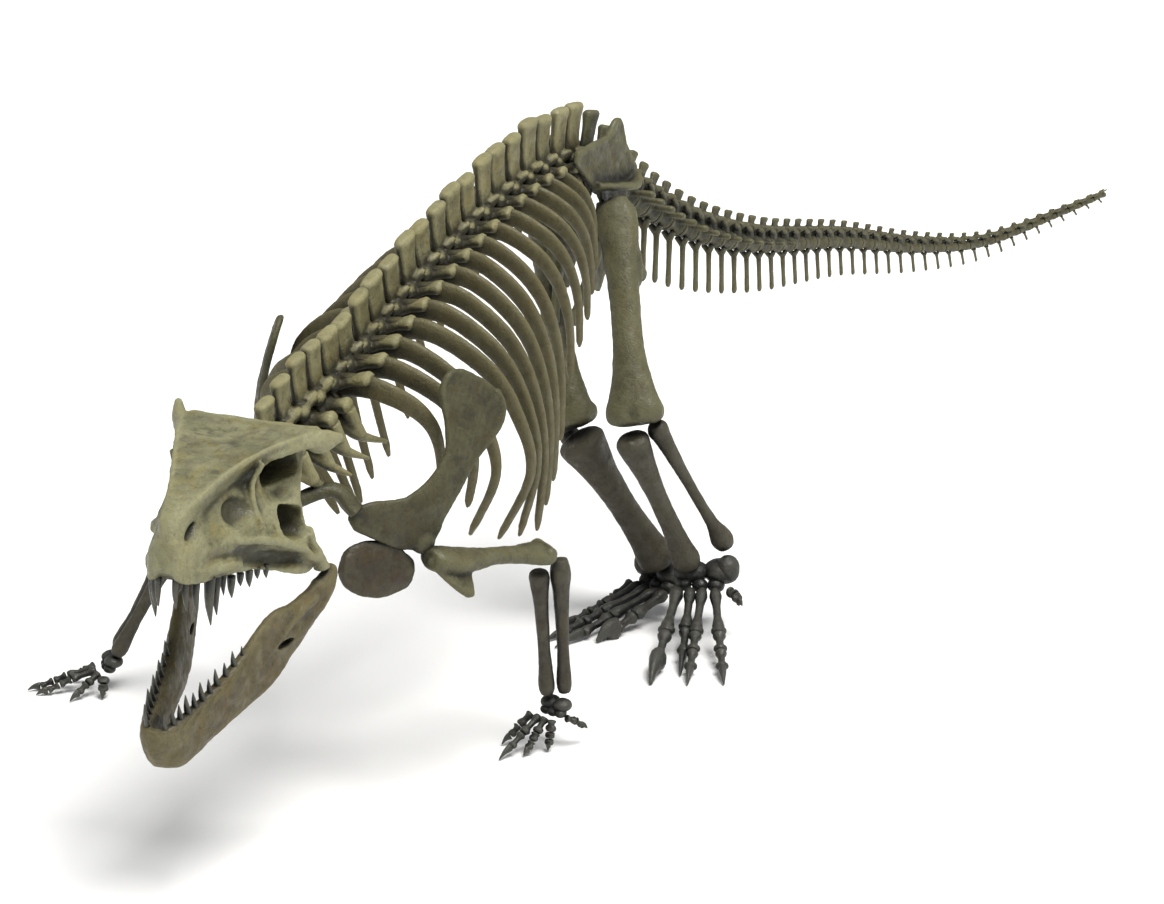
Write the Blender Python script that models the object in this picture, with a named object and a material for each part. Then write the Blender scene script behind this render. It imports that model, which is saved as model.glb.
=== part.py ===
"""Mounted skeleton of an early archosauriform reptile, life size, as one still model.

The animal faces -Y and its left side is +X.  Lengths are metres and Z is up, with the feet and
hands on the floor at Z = 0.  Every bone or run of joined bones is one closed faceted solid.
"""

import math

import bmesh
import bpy
from mathutils import Matrix, Vector

# ---------------------------------------------------------------- driving dimensions
GAP = 0.0003
FLAT_ANGLE = math.radians(4.0)
WELD = 0.00005
MANY_SHELLS = 6
THIN_SHARE = 0.54
UP = Vector((0.0, 0.0, 1.0))
BACKWARD = Vector((0.0, 1.0, 0.0))
RIGHTWARD = Vector((1.0, 0.0, 0.0))

# The back bone, from the neck joint behind the skull to the last tail joint.
NECK_LINE = [(0.0, -0.795, 0.398), (0.0, -0.735, 0.413), (0.0, -0.660, 0.429)]
BACK_LINE = [(0.0, -0.660, 0.429), (0.0, -0.600, 0.450), (0.0, -0.500, 0.486), (0.0, -0.390, 0.519),
             (0.0, -0.270, 0.548), (0.0, -0.150, 0.564), (0.0, -0.045, 0.558)]
HIP_LINE = [(0.0, -0.045, 0.558), (0.0, 0.015, 0.543), (0.0, 0.075, 0.518)]
TAIL_LINE = [(0.0, 0.075, 0.518), (0.003, 0.180, 0.466), (0.015, 0.300, 0.414), (0.030, 0.477, 0.362),
             (0.050, 0.729, 0.313), (0.085, 0.960, 0.257), (0.125, 1.160, 0.226), (0.175, 1.375, 0.231),
             (0.210, 1.507, 0.240)]
CERVICALS = 4
DORSALS = 17
SACRALS = 3
WINGED = 5
CAUDALS = 40
LAST_TAIL_WING = 13
TAIL_RUNS = [(0, 9), (9, 19), (19, 29), (29, 40)]

# Ribs by share of the back, 0 at the shoulders and 1 at the hips: greatest half width of the chest
# there, half width between the rib ends, and height of the rib ends over the floor.
CHEST_WIDTH = [(0.0, 0.112), (0.063, 0.132), (0.125, 0.135), (0.188, 0.157), (0.25, 0.149), (0.31, 0.142),
               (0.375, 0.133), (0.50, 0.112), (0.70, 0.092), (0.86, 0.062), (0.93, 0.028), (1.0, 0.024)]
RIB_END_WIDTH = [(0.0, 0.107), (0.063, 0.115), (0.125, 0.091), (0.188, 0.104), (0.25, 0.115), (0.31, 0.122),
                 (0.375, 0.118), (0.50, 0.102), (0.70, 0.086), (0.86, 0.058), (0.93, 0.026), (1.0, 0.022)]
RIB_END_HEIGHT = [(0.0, 0.339), (0.063, 0.296), (0.125, 0.245), (0.188, 0.228), (0.25, 0.224), (0.31, 0.221),
                  (0.375, 0.243), (0.44, 0.262), (0.50, 0.300), (0.57, 0.372), (0.70, 0.425), (0.86, 0.480),
                  (0.93, 0.512), (1.0, 0.534)]
RIB_SWEEP = [(0.0, 0.050), (0.063, 0.060), (0.125, 0.075), (0.188, 0.085), (0.38, 0.070), (0.60, 0.070),
             (0.86, 0.050), (1.0, 0.012)]
# The right front ribs are pressed in a little under the shoulder blade.
RIGHT_SHARE = [(0.0, 0.88), (0.25, 0.86), (0.45, 1.0), (1.0, 1.0)]

# Half depth and half breadth of a rib at each bend of its path, from its root to its end.
RIB_SECTIONS = [(0.0125, 0.0088), (0.0092, 0.0052), (0.0074, 0.0048), (0.0050, 0.0052), (0.0034, 0.0052),
                (0.0030, 0.0048)]
LAST_RIB_SIZE = 0.70

# The head: the point midway between the two rear horns, and its turns in radians.
HEAD_POINT = Vector((0.012, -0.820, 0.4555))
HEAD_YAW = 0.155
HEAD_PITCH = -0.040
HEAD_ROLL = -0.048
SKULL_LENGTH = 0.232
JAW_LENGTH = 0.256
JAW_OPEN = 0.45
JAW_HINGE = (0.010, 0.0780, -0.148)

# Joints of the limbs, for the animal's left (+X) and right (-X) sides.
SHOULDER = {"left": (0.130, -0.690, 0.281), "right": (-0.134, -0.596, 0.280)}
BLADE_TOP = {"left": (0.152, -0.595, 0.462), "right": (-0.138, -0.522, 0.477)}
ELBOW = {"left": (0.185, -0.487, 0.233), "right": (-0.288, -0.520, 0.190)}
WRIST = {"left": (0.186, -0.477, 0.058), "right": (-0.363, -0.548, 0.044)}
HIP = {"left": (0.0432, -0.034, 0.531), "right": (-0.068, 0.024, 0.512)}
KNEE = {"left": (0.133, -0.150, 0.283), "right": (0.022, -0.101, 0.251)}
ANKLE = {"left": (0.178, -0.055, 0.085), "right": (0.103, -0.016, 0.062)}

# Which way the fibula lies from the tibia.
CALF_SIDE = {"left": (0.62, 0.78, 0.0), "right": (-0.75, 0.66, 0.0)}
SHIN_SCALE = {"left": 1.0, "right": 1.45}
THIGH_BOW = {"left": 0.002, "right": 0.0}
CALF_SPREAD = {"left": 0.040, "right": 0.024}

# Tips of the fingers and toes on the floor, first digit to last.
FINGER_TIPS = {
    "left": [(0.134, -0.512, 0.0), (0.152, -0.554, 0.0), (0.172, -0.532, 0.0), (0.190, -0.506, 0.0),
             (0.218, -0.460, 0.016)],
    "right": [(-0.356, -0.590, 0.0), (-0.386, -0.614, 0.0), (-0.434, -0.614, 0.0), (-0.452, -0.606, 0.0),
              (-0.425, -0.560, 0.0)],
}
TOE_TIPS = {
    "left": [(0.208, -0.266, 0.0), (0.229, -0.226, 0.0), (0.249, -0.250, 0.0), (0.288, -0.230, 0.0),
             (0.246, -0.078, 0.044)],
    "right": [(0.088, -0.164, 0.0), (0.050, -0.206, 0.0), (0.030, -0.190, 0.0), (0.024, -0.140, 0.0),
              (0.040, -0.070, 0.0)],
}

# Share of the ankle's height that the knuckles of the foot keep.
FOOT_ARCH = {"left": 0.42, "right": 0.36}

BONE_COLOURS = {
    "bone_skull": (0.34, 0.33, 0.25, 1.0),
    "bone_jaw": (0.33, 0.28, 0.17, 1.0),
    "bone_axial": (0.27, 0.24, 0.15, 1.0),
    "bone_limb": (0.24, 0.22, 0.15, 1.0),
}


# ---------------------------------------------------------------- scene and materials
def clear_scene():
    """Remove every object, so that the script can be run again."""
    for item in list(bpy.data.objects):
        bpy.data.objects.remove(item, do_unlink=True)


def new_collection(name):
    """Make a collection in the scene."""
    made = bpy.data.collections.new(name)
    bpy.context.scene.collection.children.link(made)
    return made


def new_material(name, colour):
    """Make a satin plaster-like bone material."""
    material = bpy.data.materials.new(name)
    material.use_nodes = True
    shader = material.node_tree.nodes["Principled BSDF"]
    shader.inputs["Base Color"].default_value = colour
    shader.inputs["Roughness"].default_value = 0.62
    shader.inputs["Metallic"].default_value = 0.0
    return material


clear_scene()
PARTS = new_collection("reptile_skeleton")
CUTTERS = new_collection("cutters")
MATERIALS = {name: new_material(name, colour) for name, colour in BONE_COLOURS.items()}


# ---------------------------------------------------------------- small geometry
def spline(points, steps):
    """Sample a smooth curve through points, `steps` samples to each span."""
    knots = [Vector(point) for point in points]
    padded = [2 * knots[0] - knots[1]] + knots + [2 * knots[-1] - knots[-2]]
    samples = []
    for i in range(1, len(padded) - 2):
        before, start, end, after = padded[i - 1:i + 3]
        for k in range(steps):
            t = k / steps
            bend = 2 * before - 5 * start + 4 * end - after
            twist = -before + 3 * start - 3 * end + after
            samples.append(0.5 * (2 * start + t * (end - before) + t * t * bend + t ** 3 * twist))
    samples.append(knots[-1])
    return samples


def even_points(points, count):
    """Give count + 1 points at even distances along the smooth curve through points."""
    fine = spline(points, 24)
    reach = [0.0]
    for a, b in zip(fine, fine[1:]):
        reach.append(reach[-1] + (b - a).length)
    result = []
    index = 0
    for k in range(count + 1):
        goal = reach[-1] * k / count
        while index < len(fine) - 2 and reach[index + 1] < goal:
            index += 1
        share = (goal - reach[index]) / (reach[index + 1] - reach[index])
        result.append(fine[index].lerp(fine[index + 1], share))
    return result


def frames_along(points, sideways):
    """Give (point, side, up, along) at each point of a path."""
    frames = []
    for i, point in enumerate(points):
        ahead = points[min(i + 1, len(points) - 1)]
        behind = points[max(i - 1, 0)]
        along = (ahead - behind).normalized()
        up = Vector(sideways).cross(along).normalized()
        side = along.cross(up).normalized()
        frames.append((point, side, up, along))
    return frames


def oval(centre, side, up, half_side, half_up, count, phase=0.5):
    """Points of an ellipse round centre."""
    ring = []
    for i in range(count):
        angle = 2 * math.pi * (i + phase) / count
        ring.append(centre + side * (half_side * math.cos(angle)) + up * (half_up * math.sin(angle)))
    return ring


def block(centre, side, up, half_side, half_up):
    """Corners of a rectangle round centre."""
    return oval(centre, side, up, half_side * math.sqrt(2), half_up * math.sqrt(2), 4)


def loft(rings):
    """Closed shell through rings that all have the same number of points."""
    shell = bmesh.new()
    rows = [[shell.verts.new(point) for point in ring] for ring in rings]
    count = len(rows[0])
    for low, high in zip(rows, rows[1:]):
        for i in range(count):
            j = (i + 1) % count
            shell.faces.new((low[i], low[j], high[j], high[i]))
    shell.faces.new(list(reversed(rows[0])))
    shell.faces.new(rows[-1])
    bmesh.ops.recalc_face_normals(shell, faces=shell.faces)
    return shell


def tube(points, sideways, sizes, count):
    """Shell along a path; sizes are (half width sideways, half width the other way)."""
    rings = []
    for (point, side, up, _), (wide, tall) in zip(frames_along(points, sideways), sizes):
        rings.append(oval(point, side, up, wide, tall, count))
    return loft(rings)


def spike(base, tip, radius, count=3):
    """Cone from base to tip, with a tiny flat at its point."""
    axis = tip - base
    cone = bmesh.new()
    bmesh.ops.create_cone(cone, cap_ends=True, segments=count, radius1=radius, radius2=radius * 0.16,
                          depth=axis.length)
    turn = axis.to_track_quat("Z", "Y").to_matrix().to_4x4()
    bmesh.ops.transform(cone, matrix=Matrix.Translation((base + tip) / 2) @ turn, verts=cone.verts)
    return cone


def pebble(centre, axes, radii):
    """Low ellipsoid, for wrist, ankle and cheek lumps."""
    ball = bmesh.new()
    bmesh.ops.create_uvsphere(ball, u_segments=8, v_segments=4, radius=1.0)
    turn = Matrix(axes).transposed().to_4x4()
    size = Matrix.Diagonal(Vector(radii)).to_4x4()
    bmesh.ops.transform(ball, matrix=Matrix.Translation(centre) @ turn @ size, verts=ball.verts)
    bmesh.ops.recalc_face_normals(ball, faces=ball.faces)
    return ball


# ---------------------------------------------------------------- joining and cutting
def shell_object(name, shells, collection):
    """One object holding several closed shells."""
    mesh = bpy.data.meshes.new(name)
    joined = bmesh.new()
    for shell in shells:
        bmesh.ops.triangulate(shell, faces=shell.faces)
        scratch = bpy.data.meshes.new(name + "_shell")
        shell.to_mesh(scratch)
        shell.free()
        joined.from_mesh(scratch)
        bpy.data.meshes.remove(scratch)
    joined.to_mesh(mesh)
    joined.free()
    made = bpy.data.objects.new(name, mesh)
    collection.objects.link(made)
    return made


def apply_boolean(target, other, operation):
    """Join or cut target with other, keep the result as target's mesh and remove other."""
    other.hide_render = True
    other.display_type = "WIRE"
    change = target.modifiers.new(operation.lower(), "BOOLEAN")
    change.operation = operation
    change.solver = "EXACT"
    change.use_self = True
    change.object = other
    graph = bpy.context.evaluated_depsgraph_get()
    result = bpy.data.meshes.new_from_object(target.evaluated_get(graph))
    target.modifiers.clear()
    target.data = result
    bpy.data.objects.remove(other, do_unlink=True)


def tidy_mesh(mesh):
    """Weld slivers left by a Boolean and rest what touches the floor on small flats."""
    work = bmesh.new()
    work.from_mesh(mesh)
    for vert in work.verts:
        vert.co.z = max(vert.co.z, 0.0)
    bmesh.ops.dissolve_degenerate(work, edges=work.edges, dist=WELD)
    bmesh.ops.dissolve_limit(work, angle_limit=FLAT_ANGLE, verts=work.verts, edges=work.edges)
    bmesh.ops.triangulate(work, faces=work.faces)
    work.to_mesh(mesh)
    work.free()


def thin_out(made, keep):
    """Collapse the smallest triangles of a joined solid, keeping the given share of them."""
    change = made.modifiers.new("thin_out", "DECIMATE")
    change.ratio = keep
    change.use_collapse_triangulate = True
    graph = bpy.context.evaluated_depsgraph_get()
    result = bpy.data.meshes.new_from_object(made.evaluated_get(graph))
    made.modifiers.clear()
    made.data = result


def drop_fins(mesh):
    """Remove pairs of triangles that lie back to back on the same three corners."""
    work = bmesh.new()
    work.from_mesh(mesh)
    seen = {}
    fins = []
    for face in work.faces:
        corners = frozenset(vert.index for vert in face.verts)
        if corners in seen:
            fins += [face, seen[corners]]
        seen[corners] = face
    bmesh.ops.delete(work, geom=fins, context="FACES")
    work.to_mesh(mesh)
    work.free()


def make_part(name, shells, slot, cutters=()):
    """Join closed shells into one solid, cut it, and add it to the model."""
    made = shell_object(name, shells[:1], PARTS)
    if len(shells) > 1:
        apply_boolean(made, shell_object(name + "_rest", shells[1:], CUTTERS), "UNION")
    if cutters:
        apply_boolean(made, shell_object(name + "_cut", list(cutters), CUTTERS), "DIFFERENCE")
    tidy_mesh(made.data)
    if len(shells) > MANY_SHELLS:
        thin_out(made, THIN_SHARE)
    drop_fins(made.data)
    made.data.materials.clear()
    made.data.materials.append(MATERIALS[slot])
    return made


# ---------------------------------------------------------------- vertebrae
def centra(frames, radii, waist, count, trim):
    """A run of spool-shaped bodies; frames and radii are given at the joints between them."""
    rings = []
    last = len(frames) - 1
    for i, (point, side, up, along) in enumerate(frames):
        shift = trim if i == 0 else -trim if i == last else 0.0
        rings.append(oval(point + along * shift, side, up, radii[i], radii[i], count))
        if i < last:
            middle = (point + frames[i + 1][0]) / 2
            radius = waist * (radii[i] + radii[i + 1]) / 2
            rings.append(oval(middle, side, up, radius, radius, count))
    return loft(rings)


def middle_frame(frames, index):
    """The frame halfway between two joints of a run."""
    point, side, up, along = frames[index]
    after = frames[index + 1]
    return (point + after[0]) / 2, (side + after[1]).normalized(), (up + after[2]).normalized(), along


def neural_spine(frame, height, length, thick, lean):
    """Upright blade on a vertebra; lean carries its tip along the column."""
    point, side, up, along = frame
    foot = point
    tip = point + up * height + along * lean
    return loft([block(foot, side, along, thick * 1.4, length * 0.34),
                 block(tip, side, along, thick, length * 0.42)])


def side_process(frame, sign, reach, rise, back, thick):
    """Bar that stands out from a vertebra, to the left for sign +1."""
    point, side, up, along = frame
    foot = point + up * (rise * 0.45)
    tip = point + side * (sign * reach) + up * rise + along * back
    return loft([block(foot, up, along, thick * 0.9, thick * 1.7),
                 block(tip, up, along, thick * 0.6, thick * 1.2)])


def blend(low, high, share):
    """Value between low and high."""
    return low + (high - low) * share


# ---------------------------------------------------------------- neck
def column_frames():
    """Frames at every joint of the back bone, so that neighbouring runs end on the same plane."""
    joints = even_points(NECK_LINE, CERVICALS)
    joints += even_points(BACK_LINE, DORSALS)[1:]
    joints += even_points(HIP_LINE, SACRALS)[1:]
    joints += even_points(TAIL_LINE, CAUDALS)[1:]
    return frames_along(joints, (1, 0, 0))


COLUMN = column_frames()
CHEST_START = CERVICALS
HIP_START = CHEST_START + DORSALS
TAIL_START = HIP_START + SACRALS


def build_neck():
    """Cervical vertebrae with tall spines and short pointed ribs."""
    frames = COLUMN[:CHEST_START + 1]
    shells = [centra(frames, [0.015 + 0.0006 * i for i in range(len(frames))], 0.78, 6, GAP / 2)]
    for i in range(CERVICALS):
        frame = middle_frame(frames, i)
        along = frame[3]
        height = blend(0.064, 0.080, min(1.0, i / 2))
        shells.append(neural_spine(frame, height, 0.026, 0.0044, 0.006))
        for sign in (1.0, -1.0):
            shells.append(side_process(frame, sign, 0.040, 0.008, 0.004, 0.0062))
            root = frame[0] + frame[1] * (sign * 0.012) - frame[2] * 0.006
            bend = root + frame[1] * (sign * 0.028) - frame[2] * 0.026 + along * 0.010
            end = bend + frame[1] * (sign * 0.012) - frame[2] * 0.024 + along * blend(0.018, 0.034, i / 3)
            sizes = [(0.0095, 0.0100), (0.0085, 0.0090), (0.0028, 0.0028)]
            shells.append(tube([root, bend, end], UP, sizes, 4))
    make_part("neck", shells, "bone_axial")


# ---------------------------------------------------------------- back and ribs
def profile(share, knots):
    """Value at share along a line through (share, value) knots."""
    for (low, start), (high, end) in zip(knots, knots[1:]):
        if share <= high:
            return blend(start, end, (share - low) / (high - low))
    return knots[-1][1]


def rib_path(frame, sign, share):
    """Points of one rib; share runs from 0 at the shoulders to 1 at the hips."""
    root = frame[0] + frame[2] * 0.014
    press = 1.0 if sign > 0 else profile(share, RIGHT_SHARE)
    wide = profile(share, CHEST_WIDTH) * press
    end_wide = profile(share, RIB_END_WIDTH) * press
    drop = root.z - profile(share, RIB_END_HEIGHT)
    sweep = profile(share, RIB_SWEEP)
    # share of the greatest width, share of the drop, share of the sweep
    bends = [(0.07, 0.0, 0.0), (0.42, 0.0, 0.05), (0.80, 0.15, 0.22), (0.97, 0.36, 0.45), (1.0, 0.64, 0.72)]
    path = [root + Vector((sign * x * wide, y * sweep, -z * drop)) for x, z, y in bends]
    path.append(root + Vector((sign * end_wide, sweep, -drop)))
    return path


def rib_shell(frame, sign, share):
    """One rib: a blade that stands upright at its thick root and turns flat to the side lower down."""
    rings = []
    slim = blend(1.0, LAST_RIB_SIZE, share)
    frames = frames_along(rib_path(frame, sign, share), BACKWARD)
    for (point, _, _, along), (deep, broad) in zip(frames, RIB_SECTIONS):
        flat = BACKWARD - along * along.y
        flat.normalize()
        rings.append(block(point, flat, flat.cross(along), broad * slim, deep * slim))
    return loft(rings)


def build_rib_cage():
    """The dorsal vertebrae and their ribs, parted into a left and a right side."""
    frames = COLUMN[CHEST_START:HIP_START + 1]
    radii = [0.0165 + 0.0022 * i / DORSALS for i in range(len(frames))]
    for name, sign in (("rib_cage_left", 1.0), ("rib_cage_right", -1.0)):
        shells = [centra(frames, radii, 0.76, 6, GAP / 2)]
        for i in range(DORSALS):
            share = i / (DORSALS - 1)
            frame = middle_frame(frames, i)
            shells.append(neural_spine(frame, blend(0.072, 0.089, share), 0.034, 0.0050, 0.008))
            shells.append(rib_shell(frame, sign, share))
            if i < WINGED:
                shells.append(side_process(frame, sign, 0.048, 0.022, 0.004, 0.0052))
        made = make_part(name, shells, "bone_axial")
        half = bmesh.new()
        half.from_mesh(made.data)
        cut = bmesh.ops.bisect_plane(half, geom=half.verts[:] + half.edges[:] + half.faces[:],
                                     plane_co=(sign * GAP / 2, 0, 0), plane_no=(-sign, 0, 0),
                                     clear_outer=True)
        edges = [item for item in cut["geom_cut"] if isinstance(item, bmesh.types.BMEdge)]
        bmesh.ops.edgeloop_fill(half, edges=edges)
        bmesh.ops.recalc_face_normals(half, faces=half.faces)
        half.to_mesh(made.data)
        half.free()


# ---------------------------------------------------------------- hips
def build_sacrum():
    """Two sacral vertebrae with the ribs that carry the hip blades."""
    frames = COLUMN[HIP_START:TAIL_START + 1]
    shells = [centra(frames, [0.019] * (SACRALS + 1), 0.82, 6, GAP / 2)]
    for i in range(SACRALS):
        frame = middle_frame(frames, i)
        shells.append(neural_spine(frame, blend(0.082, 0.056, i / 2), 0.030, 0.0052, 0.010))
        for sign in (1.0, -1.0):
            shells.append(side_process(frame, sign, 0.0275, 0.012, 0.0, 0.0090))
    make_part("sacrum", shells, "bone_axial")


def plate(outline, thick, spread):
    """Slab over an outline of (y, z) points; spread gives the x of its middle at a point."""
    rows = []
    for offset in (-thick / 2, thick / 2):
        rows.append([Vector((spread(y, z) + offset, y, z)) for y, z in outline])
    return loft(rows)


def build_hip(side):
    """Ilium blade, pubis and ischium of one side, joined round the hip socket."""
    sign = 1.0 if side == "left" else -1.0
    blade = [(-0.112, 0.588), (-0.106, 0.602), (-0.060, 0.605), (-0.020, 0.607), (0.000, 0.622),
             (0.016, 0.620), (0.026, 0.594), (0.064, 0.552), (0.056, 0.538), (0.036, 0.534),
             (0.030, 0.510), (-0.030, 0.510), (-0.048, 0.540), (-0.080, 0.562)]
    shells = [plate(blade, 0.008, lambda y, z: sign * (0.0326 + 0.01 * (0.60 - z)))]
    socket = Vector((sign * 0.028, 0.002, 0.512))
    pubis_path = ((0.0, -0.018, 0.008), (0.002, -0.034, -0.045), (0.010, -0.060, -0.098),
                  (0.016, -0.080, -0.134))
    pubis = [socket + Vector((-sign * x, y, z)) for x, y, z in pubis_path]
    pubis_sizes = [(0.008, 0.020), (0.006, 0.015), (0.0055, 0.009), (0.0060, 0.008)]
    shells.append(tube(pubis, RIGHTWARD, pubis_sizes, 6))
    ischium_path = ((0.0, 0.018, 0.006), (0.004, 0.050, -0.040), (0.010, 0.092, -0.088),
                    (0.012, 0.122, -0.118))
    ischium = [socket + Vector((-sign * x, y, z)) for x, y, z in ischium_path]
    ischium_sizes = [(0.009, 0.018), (0.006, 0.015), (0.005, 0.011), (0.0055, 0.009)]
    shells.append(tube(ischium, RIGHTWARD, ischium_sizes, 6))
    shelf = [Vector((sign * x, y, z)) for x, y, z in ((0.036, -0.060, 0.553), (0.044, -0.022, 0.545),
                                                      (0.044, 0.018, 0.541), (0.036, 0.048, 0.546))]
    shelf_sizes = [(0.009, 0.005), (0.012, 0.005), (0.012, 0.005), (0.009, 0.005)]
    shells.append(tube(shelf, RIGHTWARD, shelf_sizes, 6))
    web = [(-0.024, 0.520), (0.026, 0.520), (0.062, 0.462), (0.048, 0.448), (0.004, 0.462), (-0.032, 0.440),
           (-0.046, 0.450)]
    shells.append(plate(web, 0.007, lambda y, z: sign * (0.0255 - 0.04 * (0.512 - z))))
    make_part("hip_" + side, shells, "bone_limb")


# ---------------------------------------------------------------- tail
def build_tail():
    """Forty caudal vertebrae in four lengths, with spines above and chevrons below."""
    frames = COLUMN[TAIL_START:]
    for number, (first, last) in enumerate(TAIL_RUNS, start=1):
        part = frames[first:last + 1]
        radii = [blend(0.0185, 0.0042, ((first + i) / CAUDALS) ** 0.85) for i in range(len(part))]
        shells = [centra(part, radii, 0.80, 6 if number < 3 else 4, GAP / 2)]
        for i in range(first, last):
            share = i / (CAUDALS - 1)
            frame = middle_frame(frames, i)
            fade = 1.0 - share
            height = 0.010 + 0.038 * fade + 0.010 * math.exp(-i / 2.0)
            shells.append(neural_spine(frame, height, 0.006 + 0.012 * fade, 0.0012 + 0.0024 * fade,
                                       0.006 + 0.006 * fade))
            if i <= LAST_TAIL_WING:
                out = i / LAST_TAIL_WING
                reach = blend(0.044, 0.018, out)
                for sign in (1.0, -1.0):
                    shells.append(side_process(frame, sign, reach, 0.002, 0.006, blend(0.0042, 0.0028, out)))
            if i > 1:
                drop = 0.012 + 0.080 * fade ** 1.2
                foot, across, up, along = frame
                tip = foot - up * drop + along * (0.010 + 0.012 * fade)
                slim = 0.0012 + 0.0026 * fade
                shells.append(loft([block(foot - up * 0.002, across, along, slim * 1.6, slim * 1.2),
                                    block(tip, across, along, slim * 0.8, slim * 1.4)]))
        make_part("tail_{}".format(number), shells, "bone_axial")


# ---------------------------------------------------------------- skull and jaw
def head_axes():
    """Forward, left and up of the head."""
    forward = Vector((math.sin(HEAD_YAW) * math.cos(HEAD_PITCH), -math.cos(HEAD_YAW) * math.cos(HEAD_PITCH),
                      -math.sin(HEAD_PITCH)))
    left = Vector((math.cos(HEAD_YAW), math.sin(HEAD_YAW), 0.0))
    up = left.cross(forward) * -1.0
    roll = Matrix.Rotation(HEAD_ROLL, 3, forward)
    return forward, roll @ left, roll @ up


FORWARD, LEFT, TOP = head_axes()


def head_point(x, y, z):
    """World point of a place in the head: forward, left and up of the mid-horn point."""
    return HEAD_POINT + FORWARD * x + LEFT * y + TOP * z


def skull_ring(x, roof, cheek, lip, crown, palate):
    """Cross-section of the skull; roof, cheek and lip are (half width, height)."""
    half = [roof, cheek, lip]
    ring = [head_point(x, 0, crown)]
    ring += [head_point(x, wide, high) for wide, high in half]
    ring.append(head_point(x, 0, palate))
    ring += [head_point(x, -wide, high) for wide, high in reversed(half)]
    return ring


def head_post(x, z, half_length, half_height, inner, outer, sign, tilt=0.0):
    """Oval peg that cuts an opening into the side of the skull."""
    long_way = FORWARD * math.cos(tilt) + TOP * math.sin(tilt)
    high_way = TOP * math.cos(tilt) - FORWARD * math.sin(tilt)
    near = head_point(x, sign * inner, z)
    far = head_point(x, sign * outer, z)
    return loft([oval(near, long_way, high_way, half_length * 0.8, half_height * 0.8, 8),
                 oval(far, long_way, high_way, half_length, half_height, 8)])


def build_skull():
    """The skull with its rear horns, openings and upper teeth."""
    rings = [skull_ring(0.008, (0.067, 0.004), (0.048, -0.055), (0.050, -0.104), 0.005, -0.094),
             skull_ring(0.048, (0.067, 0.003), (0.070, -0.062), (0.078, -0.146), 0.005, -0.112),
             skull_ring(0.086, (0.053, 0.001), (0.067, -0.060), (0.073, -0.140), 0.003, -0.112),
             skull_ring(0.124, (0.039, -0.006), (0.055, -0.064), (0.060, -0.130), -0.002, -0.110),
             skull_ring(0.157, (0.024, -0.019), (0.041, -0.070), (0.045, -0.123), -0.014, -0.106),
             skull_ring(0.190, (0.016, -0.033), (0.032, -0.074), (0.036, -0.122), -0.028, -0.108),
             skull_ring(0.216, (0.012, -0.045), (0.025, -0.080), (0.028, -0.119), -0.041, -0.110),
             skull_ring(SKULL_LENGTH, (0.008, -0.060), (0.015, -0.086), (0.014, -0.110), -0.058, -0.106)]
    shells = [loft(rings)]
    cutters = []
    for sign in (1.0, -1.0):
        horn = [head_point(0.090, sign * 0.050, -0.006), head_point(0.050, sign * 0.066, -0.003),
                head_point(0.018, sign * 0.081, -0.001), head_point(-0.002, sign * 0.089, 0.003)]
        shells.append(tube(horn, UP, [(0.006, 0.008), (0.010, 0.009), (0.008, 0.008), (0.006, 0.0065)], 6))
        strut = [head_point(0.028, sign * 0.074, -0.006), head_point(0.022, sign * 0.072, -0.065),
                 head_point(0.012, sign * 0.081, -0.146)]
        shells.append(tube(strut, FORWARD, [(0.009, 0.006), (0.010, 0.005), (0.011, 0.008)], 6))
        bar = [head_point(0.012, sign * 0.080, -0.136), head_point(0.060, sign * 0.076, -0.140)]
        shells.append(tube(bar, TOP, [(0.009, 0.006), (0.010, 0.006)], 6))
        cutters.append(head_post(0.116, -0.046, 0.022, 0.020, 0.030, 0.12, sign))
        cutters.append(head_post(0.068, -0.098, 0.013, 0.027, 0.040, 0.12, sign, 0.25))
        cutters.append(head_post(0.070, -0.040, 0.014, 0.018, 0.040, 0.12, sign, 0.2))
        cutters.append(head_post(0.166, -0.078, 0.014, 0.007, 0.024, 0.12, sign, -0.25))
        cutters.append(head_post(0.214, -0.060, 0.014, 0.005, 0.012, 0.12, sign, -0.5))
        # teeth: forward place, half width of the row, length, radius
        row = [(0.225, 0.010, 0.018, 0.0035), (0.217, 0.018, 0.022, 0.0040), (0.207, 0.025, 0.026, 0.0042),
               (0.188, 0.032, 0.044, 0.0058), (0.177, 0.034, 0.036, 0.0054), (0.165, 0.037, 0.018, 0.0042),
               (0.153, 0.041, 0.024, 0.0046), (0.141, 0.046, 0.014, 0.0040), (0.129, 0.051, 0.018, 0.0042),
               (0.117, 0.055, 0.012, 0.0036), (0.105, 0.060, 0.014, 0.0036)]
        for x, y, length, radius in row:
            gum = head_point(x, sign * y * 0.93, -0.104)
            shells.append(spike(gum, gum - TOP * (length + 0.016) - FORWARD * 0.12 * length, radius))
    make_part("skull", shells, "bone_skull", cutters)


def jaw_axes():
    """Forward and up of the lower jaw, which hangs open from its hinge."""
    forward = FORWARD * math.cos(JAW_OPEN) - TOP * math.sin(JAW_OPEN)
    up = TOP * math.cos(JAW_OPEN) + FORWARD * math.sin(JAW_OPEN)
    return forward, up


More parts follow.
